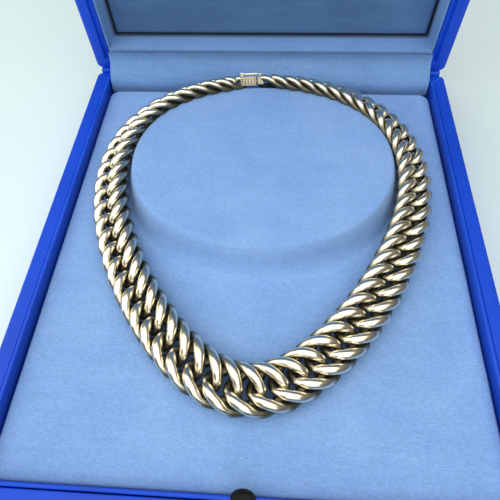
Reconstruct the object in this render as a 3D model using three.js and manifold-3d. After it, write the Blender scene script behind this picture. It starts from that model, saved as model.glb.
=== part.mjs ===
// A graduated curb link necklace lying on the raised neck form of its hinged presentation case, lid open.
// Millimetres, +Z up, +Y towards the hinge. The origin is the middle of the case's underside.
import * as THREE from "three";
import { mergeVertices } from "three/addons/utils/BufferGeometryUtils.js";
import Module from "manifold-3d";

const wasm = await Module();
wasm.setup();

// Case: a shallow tray and a shallower lid of the same outline.
const CASE_WIDTH = 186;
const CASE_DEPTH = 210;
const BASE_HEIGHT = 26;
const LID_HEIGHT = 19;
const CORNER_RADIUS = 2.5;
const CORNER_STEPS = 3;
const FLOOR = 2.5;
const BASE_WALL = 5.3;
const LID_BOARD = 2.2;
const LID_WALL = 7.4;
const TOUCH_GAP = 0.3;

// Inner lip on three sides of the base, a little above the rim, and the lid's rebate that passes over it.
const LIP_GROOVE = 0.4;
const LIP_THICKNESS = 1.5;
const LIP_RISE = 0.8;
const REBATE_DEPTH = 1.9;
const REBATE_RIM = 5;

// Lid lining and its sunk panel.
const LINING_THICKNESS = 0.9;
const HINGE_LINING_REACH = 10.2;
const PANEL_SINK = 13.9;
const PANEL_INSET = 0.8;

// Hinge axis, measured from the top back edge of the base, and the gap between the two closed rims.
const HINGE_Y = 1.6;
const HINGE_Z = 0.2;
const RIM_GAP = 0.4;
const HINGE_X = 50;
const KNUCKLE_RADIUS = 1.25;
const KNUCKLE_END = 12;
const KNUCKLE_SPLIT = 4;
const KNUCKLE_PLAY = 0.15;
const PIN_RADIUS = 0.6;
const BORE_RADIUS = 0.76;
const LEAF_THICKNESS = 0.8;
const LEAF_LENGTH = 13;
const TAB_LENGTH = 3;
const TAB_SINK = 0.05;
const ROUND_STEPS = 12;

// Display pad and the neck form raised from it.
const PAD_SINK = 4.8;
const PAD_BACK_INSET = 8.8;
const FORM_HALF_WIDTH = 57.5;
const FORM_HALF_LENGTH = 45.5;
const FORM_CENTRE_Y = -66;
const FORM_HEIGHT = 11.5;
const FORM_EXPONENT = 2.12;
const FORM_STEPS = 36;
const FORM_SLOPE = 5.2;
const FORM_FRONT_SLOPE = 6;
const FORM_ROOT = 3;
// How far each ring is grown, and its share of the form's height.
const FORM_PROFILE = [
  [1, 0.013],
  [0.62, 0.32],
  [0.3, 0.75],
  [0, 0.95],
  [-0.7, 1],
];

// Fabric lining strip that crosses the hinge inside the case.
const STRIP_THICKNESS = 1;
const STRIP_HALF_LENGTH = 84.9;
const STRIP_STEPS = 14;
const STRIP_FACE = [
  [-8.3, -6],
  [-8, -2.6],
  [-7, 0.6],
  [-4.6, 3.3],
  [-1.8, 5.6],
  [0.1, 8.3],
  [0.5, 11.7],
];

// Front catch: an oval post standing in the front rim.
const CATCH_WIDTH = 7.2;
const CATCH_DEPTH = 4.6;
const CATCH_Y = -203.6;
const CATCH_RISE = 2.6;
const CATCH_DOME = 0.8;
const CATCH_FOOT = -9;
const CATCH_PLAY = 0.5;
const CATCH_STEPS = 6;

// Necklace route seen from above, an egg that narrows to the front, and its graduation.
const ROUTE_HALF_WIDTH = 65.8;
const ROUTE_EGG = 20.1;
const ROUTE_HALF_LENGTH = 77.3;
const ROUTE_CENTRE_Y = -92.8;
const ROUTE_SAMPLES = 1440;
const LINK_COUNT = 56;
const PITCH_RATIO = 1.1;
const END_PITCHES = 2.2;
const LINK_STEPS = 10;
const WIRE_SIDES = 5;
const LINK_OVERLAP = 0.72;
// Each as [at the back, at the front]: wire radius, half the chain's width, the wire's rise out of the chain's
// plane, how far the chain leans against the form (degrees) and its height over the case's rim.
const WIRE_RADIUS = [1.18, 1.47];
const HALF_WIDTH = [5, 8.2];
const WIRE_RISE = [2.2, 2.7];
const BANK = [38, 6];
const CHAIN_HEIGHT = [7.8, 0.35];

// Box clasp at the back of the neck, left of the middle, with its fold-over safety catch.
const CLASP_ARC = 7;
const CLASP_HALF = 6;
const CLASP_SPLIT = -2.2;
const BOX_SIZE = [6.2, 4.4];
const CAP_SIZE = [5.4, 3.8];
const SLOT_SIZE = [4.6, 1.5];
const TONGUE_SIZE = [4, 0.9];
const TONGUE_REACH = 3.4;
const SAFETY_PIVOT = [5.2, 3.35];
const SAFETY_WIDTH = 3;
const SAFETY_THICKNESS = 0.9;
const SAFETY_TIP = -5.5;
const SAFETY_EYE_X = -4;
const SAFETY_EYE_RADIUS = 0.85;
const SAFETY_ARM_WIDTH = 1.2;
const BARREL_RADIUS = 0.72;
const BARREL_BORE = 0.5;
const SAFETY_PIN_RADIUS = 0.36;
const EAR_THICKNESS = 0.7;
const EAR_REACH = 0.6;
const EAR_Y = 1.2;
const STUD = { radius: 0.5, low: 1.2, high: 3.8 };
const SMALL_STEPS = 8;

const DEGREES = Math.PI / 180;

const FINISHES = {
  leatherette: { color: 0x1c4fe0, roughness: 0.42, metalness: 0 },
  velour: { color: 0x7fa6dc, roughness: 0.95, metalness: 0 },
  gold: { color: 0xd8bf8a, roughness: 0.2, metalness: 1 },
  brass: { color: 0xb89a5a, roughness: 0.35, metalness: 1 },
  black: { color: 0x0c0d10, roughness: 0.35, metalness: 0.4 },
};

// ---- Solids and meshes ----

// A closed geometry as a solid that can be joined and cut.
function solidOf(geometry) {
  const bare = geometry.index ? geometry.toNonIndexed() : geometry.clone();
  bare.deleteAttribute("normal");
  bare.deleteAttribute("uv");
  const merged = mergeVertices(bare, 1e-4);
  const shape = new wasm.Mesh({
    numProp: 3,
    vertProperties: merged.attributes.position.array,
    triVerts: new Uint32Array(merged.index.array),
  });
  return new wasm.Manifold(shape);
}

// A solid as a named mesh with a finish of its own.
function meshOf(name, solid, finish) {
  const shape = solid.getMesh();
  const geometry = new THREE.BufferGeometry();
  const positions = new Float32Array(shape.vertProperties);
  geometry.setAttribute("position", new THREE.BufferAttribute(positions, 3));
  geometry.setIndex(new THREE.BufferAttribute(new Uint32Array(shape.triVerts), 1));
  geometry.computeVertexNormals();
  const mesh = new THREE.Mesh(geometry, new THREE.MeshStandardMaterial(FINISHES[finish]));
  mesh.name = name;
  return mesh;
}

function roundedRectangle(width, depth, radius) {
  const x = width / 2;
  const y = depth / 2;
  const shape = new THREE.Shape();
  shape.absarc(x - radius, y - radius, radius, 0, Math.PI / 2, false);
  shape.absarc(-x + radius, y - radius, radius, Math.PI / 2, Math.PI, false);
  shape.absarc(-x + radius, -y + radius, radius, Math.PI, 1.5 * Math.PI, false);
  shape.absarc(x - radius, -y + radius, radius, 1.5 * Math.PI, 2 * Math.PI, false);
  return shape;
}

// A flat-topped block between two heights and two depths, with rounded upright edges.
function slab({ width, front, back, low, high, radius = CORNER_RADIUS, steps = CORNER_STEPS }) {
  const outline = roundedRectangle(width, back - front, radius);
  const options = { depth: high - low, bevelEnabled: false, curveSegments: steps };
  const geometry = new THREE.ExtrudeGeometry(outline, options);
  return solidOf(geometry.translate(0, (front + back) / 2, low));
}

function box(low, high) {
  const size = high.map((value, axis) => value - low[axis]);
  const middle = high.map((value, axis) => (value + low[axis]) / 2);
  return solidOf(new THREE.BoxGeometry(...size).translate(...middle));
}

// A round bar along X between two stations.
function bar({ from, to, radius, y, z }) {
  const geometry = new THREE.CylinderGeometry(radius, radius, to - from, ROUND_STEPS);
  geometry.translate(0, (from + to) / 2, 0).rotateZ(-Math.PI / 2);
  return solidOf(geometry.translate(0, y, z));
}

// ---- Case ----
// Base pieces are measured from the base's top back edge: y runs forward from 0 to -CASE_DEPTH, z down from 0.
// Lid pieces use the same way, measured from the lid's hinge-side edge: y runs from 0 to +CASE_DEPTH.

// The oval post grown by a clearance, between two heights, its middle at a place along Y.
function ovalPost(y, grow, low, high) {
  return slab({
    width: CATCH_WIDTH + 2 * grow,
    front: y - CATCH_DEPTH / 2 - grow,
    back: y + CATCH_DEPTH / 2 + grow,
    low,
    high,
    radius: CATCH_DEPTH / 2 + grow - 0.01,
    steps: CATCH_STEPS,
  });
}

// Room for the post in the base, up to a height.
const postHole = (high) => ovalPost(CATCH_Y, TOUCH_GAP, CATCH_FOOT - TOUCH_GAP, high);

// Room for the post's head in the lid, whose Y runs the other way.
const headPocket = () => ovalPost(-CATCH_Y, CATCH_PLAY, -CATCH_RISE - RIM_GAP - 1, 1);

function baseCase() {
  const outer = slab({ width: CASE_WIDTH, front: -CASE_DEPTH, back: 0, low: -BASE_HEIGHT, high: 0 });
  const cavity = slab({
    width: CASE_WIDTH - 2 * BASE_WALL,
    front: -CASE_DEPTH + BASE_WALL,
    back: -BASE_WALL,
    low: -BASE_HEIGHT + FLOOR,
    high: 1,
  });
  return outer.subtract(cavity).subtract(postHole(1));
}

function baseLip() {
  const inset = BASE_WALL + LIP_GROOVE;
  const low = -BASE_HEIGHT + FLOOR + TOUCH_GAP;
  const outer = slab({
    width: CASE_WIDTH - 2 * inset,
    front: -CASE_DEPTH + inset,
    back: -BASE_WALL - TOUCH_GAP,
    low,
    high: LIP_RISE,
  });
  const inner = slab({
    width: CASE_WIDTH - 2 * (inset + LIP_THICKNESS),
    front: -CASE_DEPTH + inset + LIP_THICKNESS,
    back: CORNER_RADIUS,
    low: low - 1,
    high: LIP_RISE + 1,
  });
  return outer.subtract(inner).subtract(postHole(LIP_RISE + 1));
}

// One ring of the neck form: a superellipse grown outwards, more so towards the front.
function formRing(grow, height) {
  return Array.from({ length: FORM_STEPS }, (_, step) => {
    const angle = (2 * Math.PI * step) / FORM_STEPS;
    const cosine = Math.cos(angle);
    const sine = Math.sin(angle);
    const power = 2 / FORM_EXPONENT;
    const frontward = Math.max(0, -sine) ** 2;
    const reach = grow * (FORM_SLOPE + FORM_FRONT_SLOPE * frontward);
    return new THREE.Vector3(
      Math.sign(cosine) * (Math.abs(cosine) ** power * FORM_HALF_WIDTH + Math.abs(cosine) * reach),
      FORM_CENTRE_Y + Math.sign(sine) * (Math.abs(sine) ** power * FORM_HALF_LENGTH + Math.abs(sine) * reach),
      height - PAD_SINK,
    );
  });
}

// A closed solid through equal rings, with a flat cap at each end.
function loft(rings) {
  const count = rings[0].length;
  const points = rings.flat();
  const bottom = points.length;
  const top = bottom + 1;
  const middle = (ring) => ring.reduce((sum, p) => sum.add(p), new THREE.Vector3()).divideScalar(count);
  points.push(middle(rings[0]), middle(rings[rings.length - 1]));
  const faces = [];
  for (let i = 0; i < count; i += 1) {
    const next = (i + 1) % count;
    const last = (rings.length - 1) * count;
    faces.push(bottom, next, i, top, last + i, last + next);
    for (let level = 0; level < rings.length - 1; level += 1) {
      const low = level * count;
      const high = low + count;
      faces.push(low + i, low + next, high + next, low + i, high + next, high + i);
    }
  }
  const geometry = new THREE.BufferGeometry().setFromPoints(points);
  return solidOf(geometry.setIndex(faces));
}

// The neck form: its side eases out of the pad, climbs and rounds over to a flat top.
function neckForm() {
  const side = FORM_PROFILE.map(([grow, share]) => formRing(grow, share * FORM_HEIGHT));
  return loft([formRing(FORM_PROFILE[0][0], -FORM_ROOT), ...side]);
}

function displayPad() {
  const lipInside = BASE_WALL + LIP_GROOVE + LIP_THICKNESS + TOUCH_GAP;
  const block = slab({
    width: CASE_WIDTH - 2 * lipInside,
    front: -CASE_DEPTH + lipInside,
    back: -PAD_BACK_INSET,
    low: -BASE_HEIGHT + FLOOR + TOUCH_GAP,
    high: -PAD_SINK,
  });
  return block.add(neckForm()).subtract(postHole(1));
}

function frontCatch() {
  const shaft = ovalPost(CATCH_Y, 0, CATCH_FOOT, CATCH_RISE - CATCH_DOME);
  const dome = ovalPost(CATCH_Y, -CATCH_DOME / 2, CATCH_RISE - CATCH_DOME - 0.1, CATCH_RISE);
  return shaft.add(dome);
}

// Fabric strip from the pad's back edge, over the hinge, to the lid's lining: a bent sheet.
function hingeStrip() {
  const face = new THREE.SplineCurve(STRIP_FACE.map(([y, z]) => new THREE.Vector2(y, z)));
  const front = face.getSpacedPoints(STRIP_STEPS);
  const behind = front.map((point, step) => {
    const tangent = face.getTangentAt(step / STRIP_STEPS);
    return new THREE.Vector2(tangent.y, -tangent.x).multiplyScalar(STRIP_THICKNESS).add(point);
  });
  const outline = new THREE.Shape([...behind, ...front.reverse()]);
  const options = { depth: 2 * STRIP_HALF_LENGTH, bevelEnabled: false };
  const geometry = new THREE.ExtrudeGeometry(outline, options);
  geometry.translate(0, 0, -STRIP_HALF_LENGTH);
  // The outline's plane is Y-Z and the extrusion runs along X.
  const turn = new THREE.Matrix4().makeBasis(
    new THREE.Vector3(0, 1, 0),
    new THREE.Vector3(0, 0, 1),
    new THREE.Vector3(1, 0, 0),
  );
  return solidOf(geometry.applyMatrix4(turn));
}

function lidCase() {
  const outer = slab({ width: CASE_WIDTH, front: 0, back: CASE_DEPTH, low: -LID_HEIGHT, high: 0 });
  const hollow = (wall, low) =>
    slab({ width: CASE_WIDTH - 2 * wall, front: wall, back: CASE_DEPTH - wall, low, high: 1 });
  return outer
    .subtract(hollow(LID_WALL, -LID_HEIGHT + LID_BOARD))
    .subtract(hollow(REBATE_RIM, -REBATE_DEPTH))
    .subtract(headPocket());
}

// Outline of the lid's lining, inside its wall, and of the well within it.
const liningOuter = LID_WALL + TOUCH_GAP;
const liningInner = liningOuter + LINING_THICKNESS;
const panelBack = -LID_HEIGHT + LID_BOARD + TOUCH_GAP;

function lidLining() {
  const outer = slab({
    width: CASE_WIDTH - 2 * liningOuter,
    front: liningOuter,
    back: CASE_DEPTH - liningOuter,
    low: panelBack,
    high: -REBATE_DEPTH,
  });
  const well = slab({
    width: CASE_WIDTH - 2 * liningInner,
    front: HINGE_LINING_REACH,
    back: CASE_DEPTH - liningInner,
    low: panelBack - 1,
    high: 1,
  });
  return outer.subtract(well).subtract(headPocket());
}

function lidPanel() {
  return slab({
    width: CASE_WIDTH - 2 * (liningInner + PANEL_INSET),
    front: HINGE_LINING_REACH + PANEL_INSET,
    back: CASE_DEPTH - liningInner - PANEL_INSET,
    low: panelBack,
    high: -PANEL_SINK,
  });
}

// ---- Hinges, measured from the base's top back edge ----

function knuckle(from, to) {
  return bar({ from, to, radius: KNUCKLE_RADIUS, y: HINGE_Y, z: HINGE_Z });
}

function leafOnBase() {
  const plate = box(
    [-KNUCKLE_END, TOUCH_GAP, -LEAF_LENGTH],
    [KNUCKLE_END, TOUCH_GAP + LEAF_THICKNESS, HINGE_Z - KNUCKLE_RADIUS - TOUCH_GAP],
  );
  const tab = (from, to) =>
    box([from, TOUCH_GAP + TAB_SINK, -TAB_LENGTH], [to, TOUCH_GAP + LEAF_THICKNESS, HINGE_Z]).add(knuckle(from, to));
  const pin = bar({ from: -KNUCKLE_END, to: KNUCKLE_END, radius: PIN_RADIUS, y: HINGE_Y, z: HINGE_Z });
  return plate.add(tab(-KNUCKLE_END, -KNUCKLE_SPLIT)).add(tab(KNUCKLE_SPLIT, KNUCKLE_END)).add(pin);
}

function leafOnLid() {
  const top = HINGE_Y + HINGE_Z - TOUCH_GAP;
  const plate = box(
    [-KNUCKLE_END, HINGE_Y + KNUCKLE_RADIUS + TOUCH_GAP, top - LEAF_THICKNESS],
    [KNUCKLE_END, HINGE_Y + LEAF_LENGTH, top],
  );
  const half = KNUCKLE_SPLIT - KNUCKLE_PLAY;
  const tab = box([-half, HINGE_Y, top - LEAF_THICKNESS], [half, HINGE_Y + TAB_LENGTH, top - TAB_SINK]);
  const bore = bar({ from: -half - 1, to: half + 1, radius: BORE_RADIUS, y: HINGE_Y, z: HINGE_Z });
  return plate.add(tab).add(knuckle(-half, half)).subtract(bore);
}

// ---- Necklace ----

// How far a place on the loop has come from the clasp (0) to the front (1).
const frontness = (angle) => (1 - Math.cos(angle)) / 2;
const mix = (back, front, share) => back + (front - back) * share;

// Graduated sizes of the chain at a frontness.
function linkSizes(share) {
  return {
    wire: mix(...WIRE_RADIUS, share),
    halfWidth: mix(...HALF_WIDTH, share ** 1.2),
    rise: mix(...WIRE_RISE, share),
    bank: mix(...BANK, share ** 0.6) * DEGREES,
    height: mix(...CHAIN_HEIGHT, 1 - (1 - share) ** 2.2),
  };
}

// The loop from the back, down the left side, round the front and up the right side, by arc length.
function measureRoute() {
  const at = (angle) => ({
    angle,
    x: -Math.sin(angle) * (ROUTE_HALF_WIDTH + ROUTE_EGG * Math.cos(angle)),
    y: ROUTE_CENTRE_Y + ROUTE_HALF_LENGTH * Math.cos(angle),
  });
  const samples = [{ ...at(0), arc: 0 }];
  for (let i = 1; i <= ROUTE_SAMPLES; i += 1) {
    const last = samples[i - 1];
    const next = at((2 * Math.PI * i) / ROUTE_SAMPLES);
    samples.push({ ...next, arc: last.arc + Math.hypot(next.x - last.x, next.y - last.y) });
  }
  return samples;
}

const route = measureRoute();
const routeLength = route[ROUTE_SAMPLES].arc;

// Place and turn of the chain at an arc length: X along it, Y to its inner edge, Z out of its face.
function stationAt(arc) {
  const index = Math.max(1, route.findIndex((sample) => sample.arc >= arc));
  const before = route[index - 1];
  const after = route[index];
  const share = (arc - before.arc) / (after.arc - before.arc);
  const angle = mix(before.angle, after.angle, share);
  const sizes = linkSizes(frontness(angle));
  const along = new THREE.Vector3(after.x - before.x, after.y - before.y, 0).normalize();
  const inward = new THREE.Vector3(-along.y, along.x, 0);
  const up = new THREE.Vector3(0, 0, 1);
  const across = inward.clone().multiplyScalar(Math.cos(sizes.bank)).addScaledVector(up, Math.sin(sizes.bank));
  const face = new THREE.Vector3().crossVectors(along, across);
  const matrix = new THREE.Matrix4().makeBasis(along, across, face);
  matrix.setPosition(mix(before.x, after.x, share), mix(before.y, after.y, share), sizes.height);
  return { matrix, sizes, angle };
}

// Arc lengths of the link centres: an even chain whose pitch grows towards the front.
function linkStations() {
  const start = CLASP_ARC + CLASP_HALF;
  const length = routeLength - 2 * CLASP_HALF;
  const weights = Array.from({ length: LINK_COUNT }, (_, i) => {
    const angle = (2 * Math.PI * (i + 0.5)) / LINK_COUNT;
    return mix(1, PITCH_RATIO, frontness(angle));
  });
  const unit = length / (weights.reduce((sum, weight) => sum + weight, 0) + END_PITCHES);
  let arc = start + (END_PITCHES / 2) * unit;
  return weights.map((weight) => {
    const pitch = weight * unit;
    arc += pitch;
    return { arc: (arc - pitch / 2) % routeLength, pitch };
  });
}

// The wire of a curb link: an oval that is twisted so that it lies flat over its neighbours.
class CurbLink extends THREE.Curve {
  constructor(halfLength, halfWidth, rise) {
    super();
    Object.assign(this, { halfLength, halfWidth, rise });
  }

  getPoint(share, target = new THREE.Vector3()) {
    const turn = 2 * Math.PI * share;
    return target.set(
      this.halfLength * Math.cos(turn),
      this.halfWidth * Math.sin(turn),
      this.rise * Math.sin(2 * turn),
    );
  }
}

function curbLink({ arc, pitch }) {
  const { matrix, sizes } = stationAt(arc);
  const halfLength = pitch + LINK_OVERLAP * sizes.wire;
  const curve = new CurbLink(halfLength, sizes.halfWidth, sizes.rise);
  const geometry = new THREE.TubeGeometry(curve, LINK_STEPS, sizes.wire, WIRE_SIDES, true);
  return solidOf(geometry.applyMatrix4(matrix));
}

// Every second link passes through the one two places on, so the chain is two interlaced strands.
function chainStrand(first) {
  const links = linkStations().filter((_, index) => index % 2 === first);
  return links.map(curbLink).reduce((strand, link) => strand.add(link));
}

// ---- Clasp, in the chain's own axes at its station: X along the chain, Y inward, Z out of the face ----

// A round bar across the clasp, through the safety catch's pivot.
function crossBar(halfLength, radius) {
  const [pivotX, pivotZ] = SAFETY_PIVOT;
  const geometry = new THREE.CylinderGeometry(radius, radius, 2 * halfLength, SMALL_STEPS);
  return solidOf(geometry.translate(pivotX, 0, pivotZ));
}

function claspBlock(from, to, [width, thickness]) {
  return box([from, -width / 2, -thickness / 2], [to, width / 2, thickness / 2]);
}

function claspBox() {
  const [pivotX, pivotZ] = SAFETY_PIVOT;
  const body = claspBlock(CLASP_SPLIT, CLASP_HALF, BOX_SIZE);
  const slot = claspBlock(CLASP_SPLIT - 1, TONGUE_REACH + TOUCH_GAP, SLOT_SIZE);
  const ear = (y) =>
    box(
      [pivotX - EAR_REACH, y - EAR_THICKNESS / 2, BOX_SIZE[1] / 2 - EAR_THICKNESS],
      [pivotX + EAR_REACH, y + EAR_THICKNESS / 2, pivotZ + EAR_REACH],
    );
  return body.subtract(slot).add(ear(-EAR_Y)).add(ear(EAR_Y)).add(crossBar(EAR_Y, SAFETY_PIN_RADIUS));
}

function claspTongue() {
  const cap = claspBlock(-CLASP_HALF, CLASP_SPLIT - TOUCH_GAP, CAP_SIZE);
  const blade = claspBlock(CLASP_SPLIT - 1, TONGUE_REACH, TONGUE_SIZE);
  const { radius, low, high } = STUD;
  const stud = new THREE.CylinderGeometry(radius, radius, high - low, SMALL_STEPS).rotateX(Math.PI / 2);
  return cap.add(blade).add(solidOf(stud.translate(SAFETY_EYE_X, 0, (low + high) / 2)));
}

// The fold-over safety catch lies on the clasp's face, its eye over the stud.
function safetyCatch() {
  const [pivotX, pivotZ] = SAFETY_PIVOT;
  const low = pivotZ - SAFETY_THICKNESS / 2;
  const high = pivotZ + SAFETY_THICKNESS / 2;
  const end = pivotX - 2 * BARREL_RADIUS;
  const outline = roundedRectangle(end - SAFETY_TIP, SAFETY_WIDTH, SAFETY_WIDTH / 2 - 0.01);
  const middle = (end + SAFETY_TIP) / 2;
  outline.holes.push(new THREE.Path().absarc(SAFETY_EYE_X - middle, 0, SAFETY_EYE_RADIUS, 0, 2 * Math.PI, true));
  const options = { depth: high - low, bevelEnabled: false, curveSegments: SMALL_STEPS / 2 };
  const plate = new THREE.ExtrudeGeometry(outline, options).translate(middle, 0, low);
  const half = SAFETY_ARM_WIDTH / 2;
  const arm = box([end - 1, -half, low + 0.02], [pivotX, half, high - 0.02]);
  const barrel = crossBar(half, BARREL_RADIUS);
  return solidOf(plate).add(arm).add(barrel).subtract(crossBar(SAFETY_ARM_WIDTH, BARREL_BORE));
}

// ---- Assembly ----

function placed(group, meshes) {
  group.add(...meshes);
  return group;
}

function necklaceGroup() {
  const clasp = new THREE.Group();
  clasp.applyMatrix4(stationAt(CLASP_ARC).matrix);
  placed(clasp, [
    meshOf("clasp_box", claspBox(), "gold"),
    meshOf("clasp_tongue", claspTongue(), "gold"),
    meshOf("safety_catch", safetyCatch(), "gold"),
  ]);
  const strands = [0, 1].map((first) => meshOf(`chain_strand_${first + 1}`, chainStrand(first), "gold"));
  return placed(new THREE.Group(), [clasp, ...strands]);
}

function lidGroup() {
  const lid = new THREE.Group();
  lid.position.set(0, HINGE_Y + RIM_GAP - HINGE_Z, HINGE_Y + HINGE_Z);
  lid.rotation.x = Math.PI / 2;
  return placed(lid, [
    meshOf("lid_case", lidCase(), "leatherette"),
    meshOf("lid_lining", lidLining(), "velour"),
    meshOf("lid_panel", lidPanel(), "velour"),
  ]);
}

function hingeGroup(side, x) {
  const hinge = new THREE.Group();
  hinge.position.x = x;
  return placed(hinge, [
    meshOf(`hinge_leaf_base_${side}`, leafOnBase(), "brass"),
    meshOf(`hinge_leaf_lid_${side}`, leafOnLid(), "brass"),
  ]);
}

function wholePart() {
  const measured = new THREE.Group();
  measured.position.set(0, CASE_DEPTH / 2, BASE_HEIGHT);
  placed(measured, [
    meshOf("base_case", baseCase(), "leatherette"),
    meshOf("base_lip", baseLip(), "leatherette"),
    meshOf("display_pad", displayPad(), "velour"),
    meshOf("hinge_strip", hingeStrip(), "velour"),
    meshOf("front_catch", frontCatch(), "black"),
    hingeGroup("left", -HINGE_X),
    hingeGroup("right", HINGE_X),
    lidGroup(),
    necklaceGroup(),
  ]);
  return placed(new THREE.Group(), [measured]);
}

export default wholePart();
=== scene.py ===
# %% [markdown]
# # A graduated curb link necklace in its presentation case
# The case is a shallow tray with a hinged lid, both covered in bright blue leatherette. A pad of pale
# blue velour fills the tray, and a low form in the shape of the base of a neck rises from it. Round the
# form lies the necklace: 56 curb links of pale gold and two short ones at the clasp, small at the back
# and large at the front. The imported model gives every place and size, so this notebook starts by loading
# it, and then builds each piece around it.

import math

import bmesh
import bpy
import numpy as np
from mathutils import Matrix, Vector, noise


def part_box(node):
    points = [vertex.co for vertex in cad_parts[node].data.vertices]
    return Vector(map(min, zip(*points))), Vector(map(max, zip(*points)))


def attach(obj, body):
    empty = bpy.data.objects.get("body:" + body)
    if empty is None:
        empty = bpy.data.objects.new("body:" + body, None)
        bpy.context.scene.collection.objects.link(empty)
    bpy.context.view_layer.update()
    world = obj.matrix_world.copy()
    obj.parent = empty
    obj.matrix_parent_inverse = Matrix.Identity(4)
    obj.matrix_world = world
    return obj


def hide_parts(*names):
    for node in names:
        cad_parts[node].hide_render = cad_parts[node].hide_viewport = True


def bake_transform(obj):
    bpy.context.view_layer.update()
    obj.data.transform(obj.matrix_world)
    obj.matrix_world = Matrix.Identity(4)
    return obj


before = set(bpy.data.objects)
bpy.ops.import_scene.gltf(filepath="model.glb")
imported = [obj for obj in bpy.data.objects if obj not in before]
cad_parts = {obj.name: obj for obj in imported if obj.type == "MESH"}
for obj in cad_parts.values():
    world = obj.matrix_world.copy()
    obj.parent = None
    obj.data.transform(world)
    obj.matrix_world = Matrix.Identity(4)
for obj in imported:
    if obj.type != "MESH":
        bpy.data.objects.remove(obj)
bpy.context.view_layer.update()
MM = 0.001

# %% [markdown]
# Case makers measure from an edge that they can touch. Here that is the top back edge of the tray, where
# the hinge sits: x runs across, y runs back, z runs up, all in millimetres. The lid is drawn as it lies
# on the bench, rim up, with y from its hinge side, and one function stands it open.

# %% Measuring from the hinge edge
base_low, base_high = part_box("base_case")
lid_low, lid_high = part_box("lid_case")
edge = np.array([0, base_high.y, base_high.z])
CASE_WIDTH = (base_high.x - base_low.x) / MM
CASE_DEPTH = (base_high.y - base_low.y) / MM
BASE_HEIGHT = (base_high.z - base_low.z) / MM
LID_HEIGHT = (lid_high.y - lid_low.y) / MM
LID_SHIFT = (lid_low.z - base_high.z) / MM


def in_base(points):
    """Millimetres from the tray's top back edge, as metres in the frame."""
    return np.asarray(points, float) * MM + edge


def in_lid(points):
    """Millimetres in the lid lying rim up, y from its hinge side, as metres with the lid stood open."""
    x, y, z = np.asarray(points, float).T
    return in_base(np.stack([x, LID_SHIFT - z, LID_SHIFT + y], axis=-1))


print(f"case {CASE_WIDTH:.0f} x {CASE_DEPTH:.0f} mm, tray {BASE_HEIGHT:.0f}, lid {LID_HEIGHT:.0f}")

# %% [markdown]
# Most of the case is one idea: a section that runs round an outline. A list of corners, each with the
# radius that the covering is wrapped to, gives the section; a rounded rectangle, pushed in by an inset,
# gives the outline. The rows between them are joined by quads. Modelling by rows keeps each edge's
# softness in one number, which a bevel on a cut cube wouldn't.


# %% Rows of points and the skins between them
def rounded(corners, steps=4):
    """A polyline whose corners, each (across, height, radius), are eased into curves."""
    points = []
    for index, (across, height, radius) in enumerate(corners):
        here = Vector((across, height))
        if radius == 0:
            points.append(here)
            continue
        before = Vector(corners[index - 1][:2]) - here
        after = Vector(corners[(index + 1) % len(corners)][:2]) - here
        start = here + before.normalized() * radius
        end = here + after.normalized() * radius
        for step in range(steps + 1):
            share = step / steps
            points.append(start.lerp(here, share).lerp(here.lerp(end, share), share))
    return [(point.x, point.y) for point in points]


def outline(half_width, front, back, radius, steps=5):
    """A rounded rectangle's points, counter-clockwise from its right front corner."""
    centres = [
        (half_width - radius, front + radius),
        (half_width - radius, back - radius),
        (radius - half_width, back - radius),
        (radius - half_width, front + radius),
    ]
    points = []
    for quarter, (x, y) in enumerate(centres):
        for step in range(steps + 1):
            angle = math.pi / 2 * (quarter - 1 + step / steps)
            points.append((x + radius * math.cos(angle), y + radius * math.sin(angle)))
    return np.array(points)


def row_at(points, height):
    """An outline lifted to a height."""
    return np.column_stack([points, np.full(len(points), float(height))])


def piece_from(name, points, faces, sharp=40):
    """A mesh object with outward faces, smooth but for edges sharper than an angle."""
    mesh = bpy.data.meshes.new(name)
    mesh.from_pydata([tuple(point) for point in points], [], faces)
    shape = bmesh.new()
    shape.from_mesh(mesh)
    bmesh.ops.remove_doubles(shape, verts=shape.verts, dist=1e-7)
    bmesh.ops.recalc_face_normals(shape, faces=shape.faces)
    shape.to_mesh(mesh)
    shape.free()
    mesh.shade_smooth()
    mesh.set_sharp_from_angle(angle=math.radians(sharp))
    piece = bpy.data.objects.new(name, mesh)
    bpy.context.scene.collection.objects.link(piece)
    return piece


def skin(rows, closed_rows=True, closed_stack=False):
    """Points and quads through rows of equal length, with flat caps where the skin would be open."""
    count = len(rows[0])
    points = np.concatenate(rows)
    faces = []
    for level in range(len(rows) if closed_stack else len(rows) - 1):
        low = level * count
        high = (level + 1) % len(rows) * count
        for index in range(count if closed_rows else count - 1):
            ahead = (index + 1) % count
            faces.append((low + index, low + ahead, high + ahead, high + index))
    if not closed_stack:
        faces.append(tuple(range(count)))
        faces.append(tuple(range(len(points) - count, len(points))))
    elif not closed_rows:
        faces.append(tuple(range(0, len(points), count)))
        faces.append(tuple(range(count - 1, len(points), count)))
    return points, faces


def told(piece):
    """Prints what a piece measures, and returns it."""
    low, high = (Vector(corner) for corner in (piece.bound_box[0], piece.bound_box[6]))
    size = [round(value / MM, 1) for value in high - low]
    print(f"{piece.name}: {len(piece.data.polygons)} faces, {size} mm")
    return piece


# %% [markdown]
# Each finish is a small set of nodes. Two helpers keep the code short: one adds a node with its inputs
# linked or set, the other adds a calculation. Effects that several finishes share are node groups with
# named sockets, so that each finish gives them its own sizes and colours.


# %% Small helpers for node trees
def plug(tree, socket, value):
    """Links an output to a socket, or sets the socket's own value."""
    if isinstance(value, bpy.types.NodeSocket):
        tree.links.new(value, socket)
    else:
        socket.default_value = value


def add(tree, kind, inputs=None, **settings):
    """A node with its settings, and its inputs by name."""
    node = tree.nodes.new(kind)
    for key, value in settings.items():
        setattr(node, key, value)
    for name, value in (inputs or {}).items():
        plug(tree, next(s for s in node.inputs if s.name == name and s.enabled), value)
    return node


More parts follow.
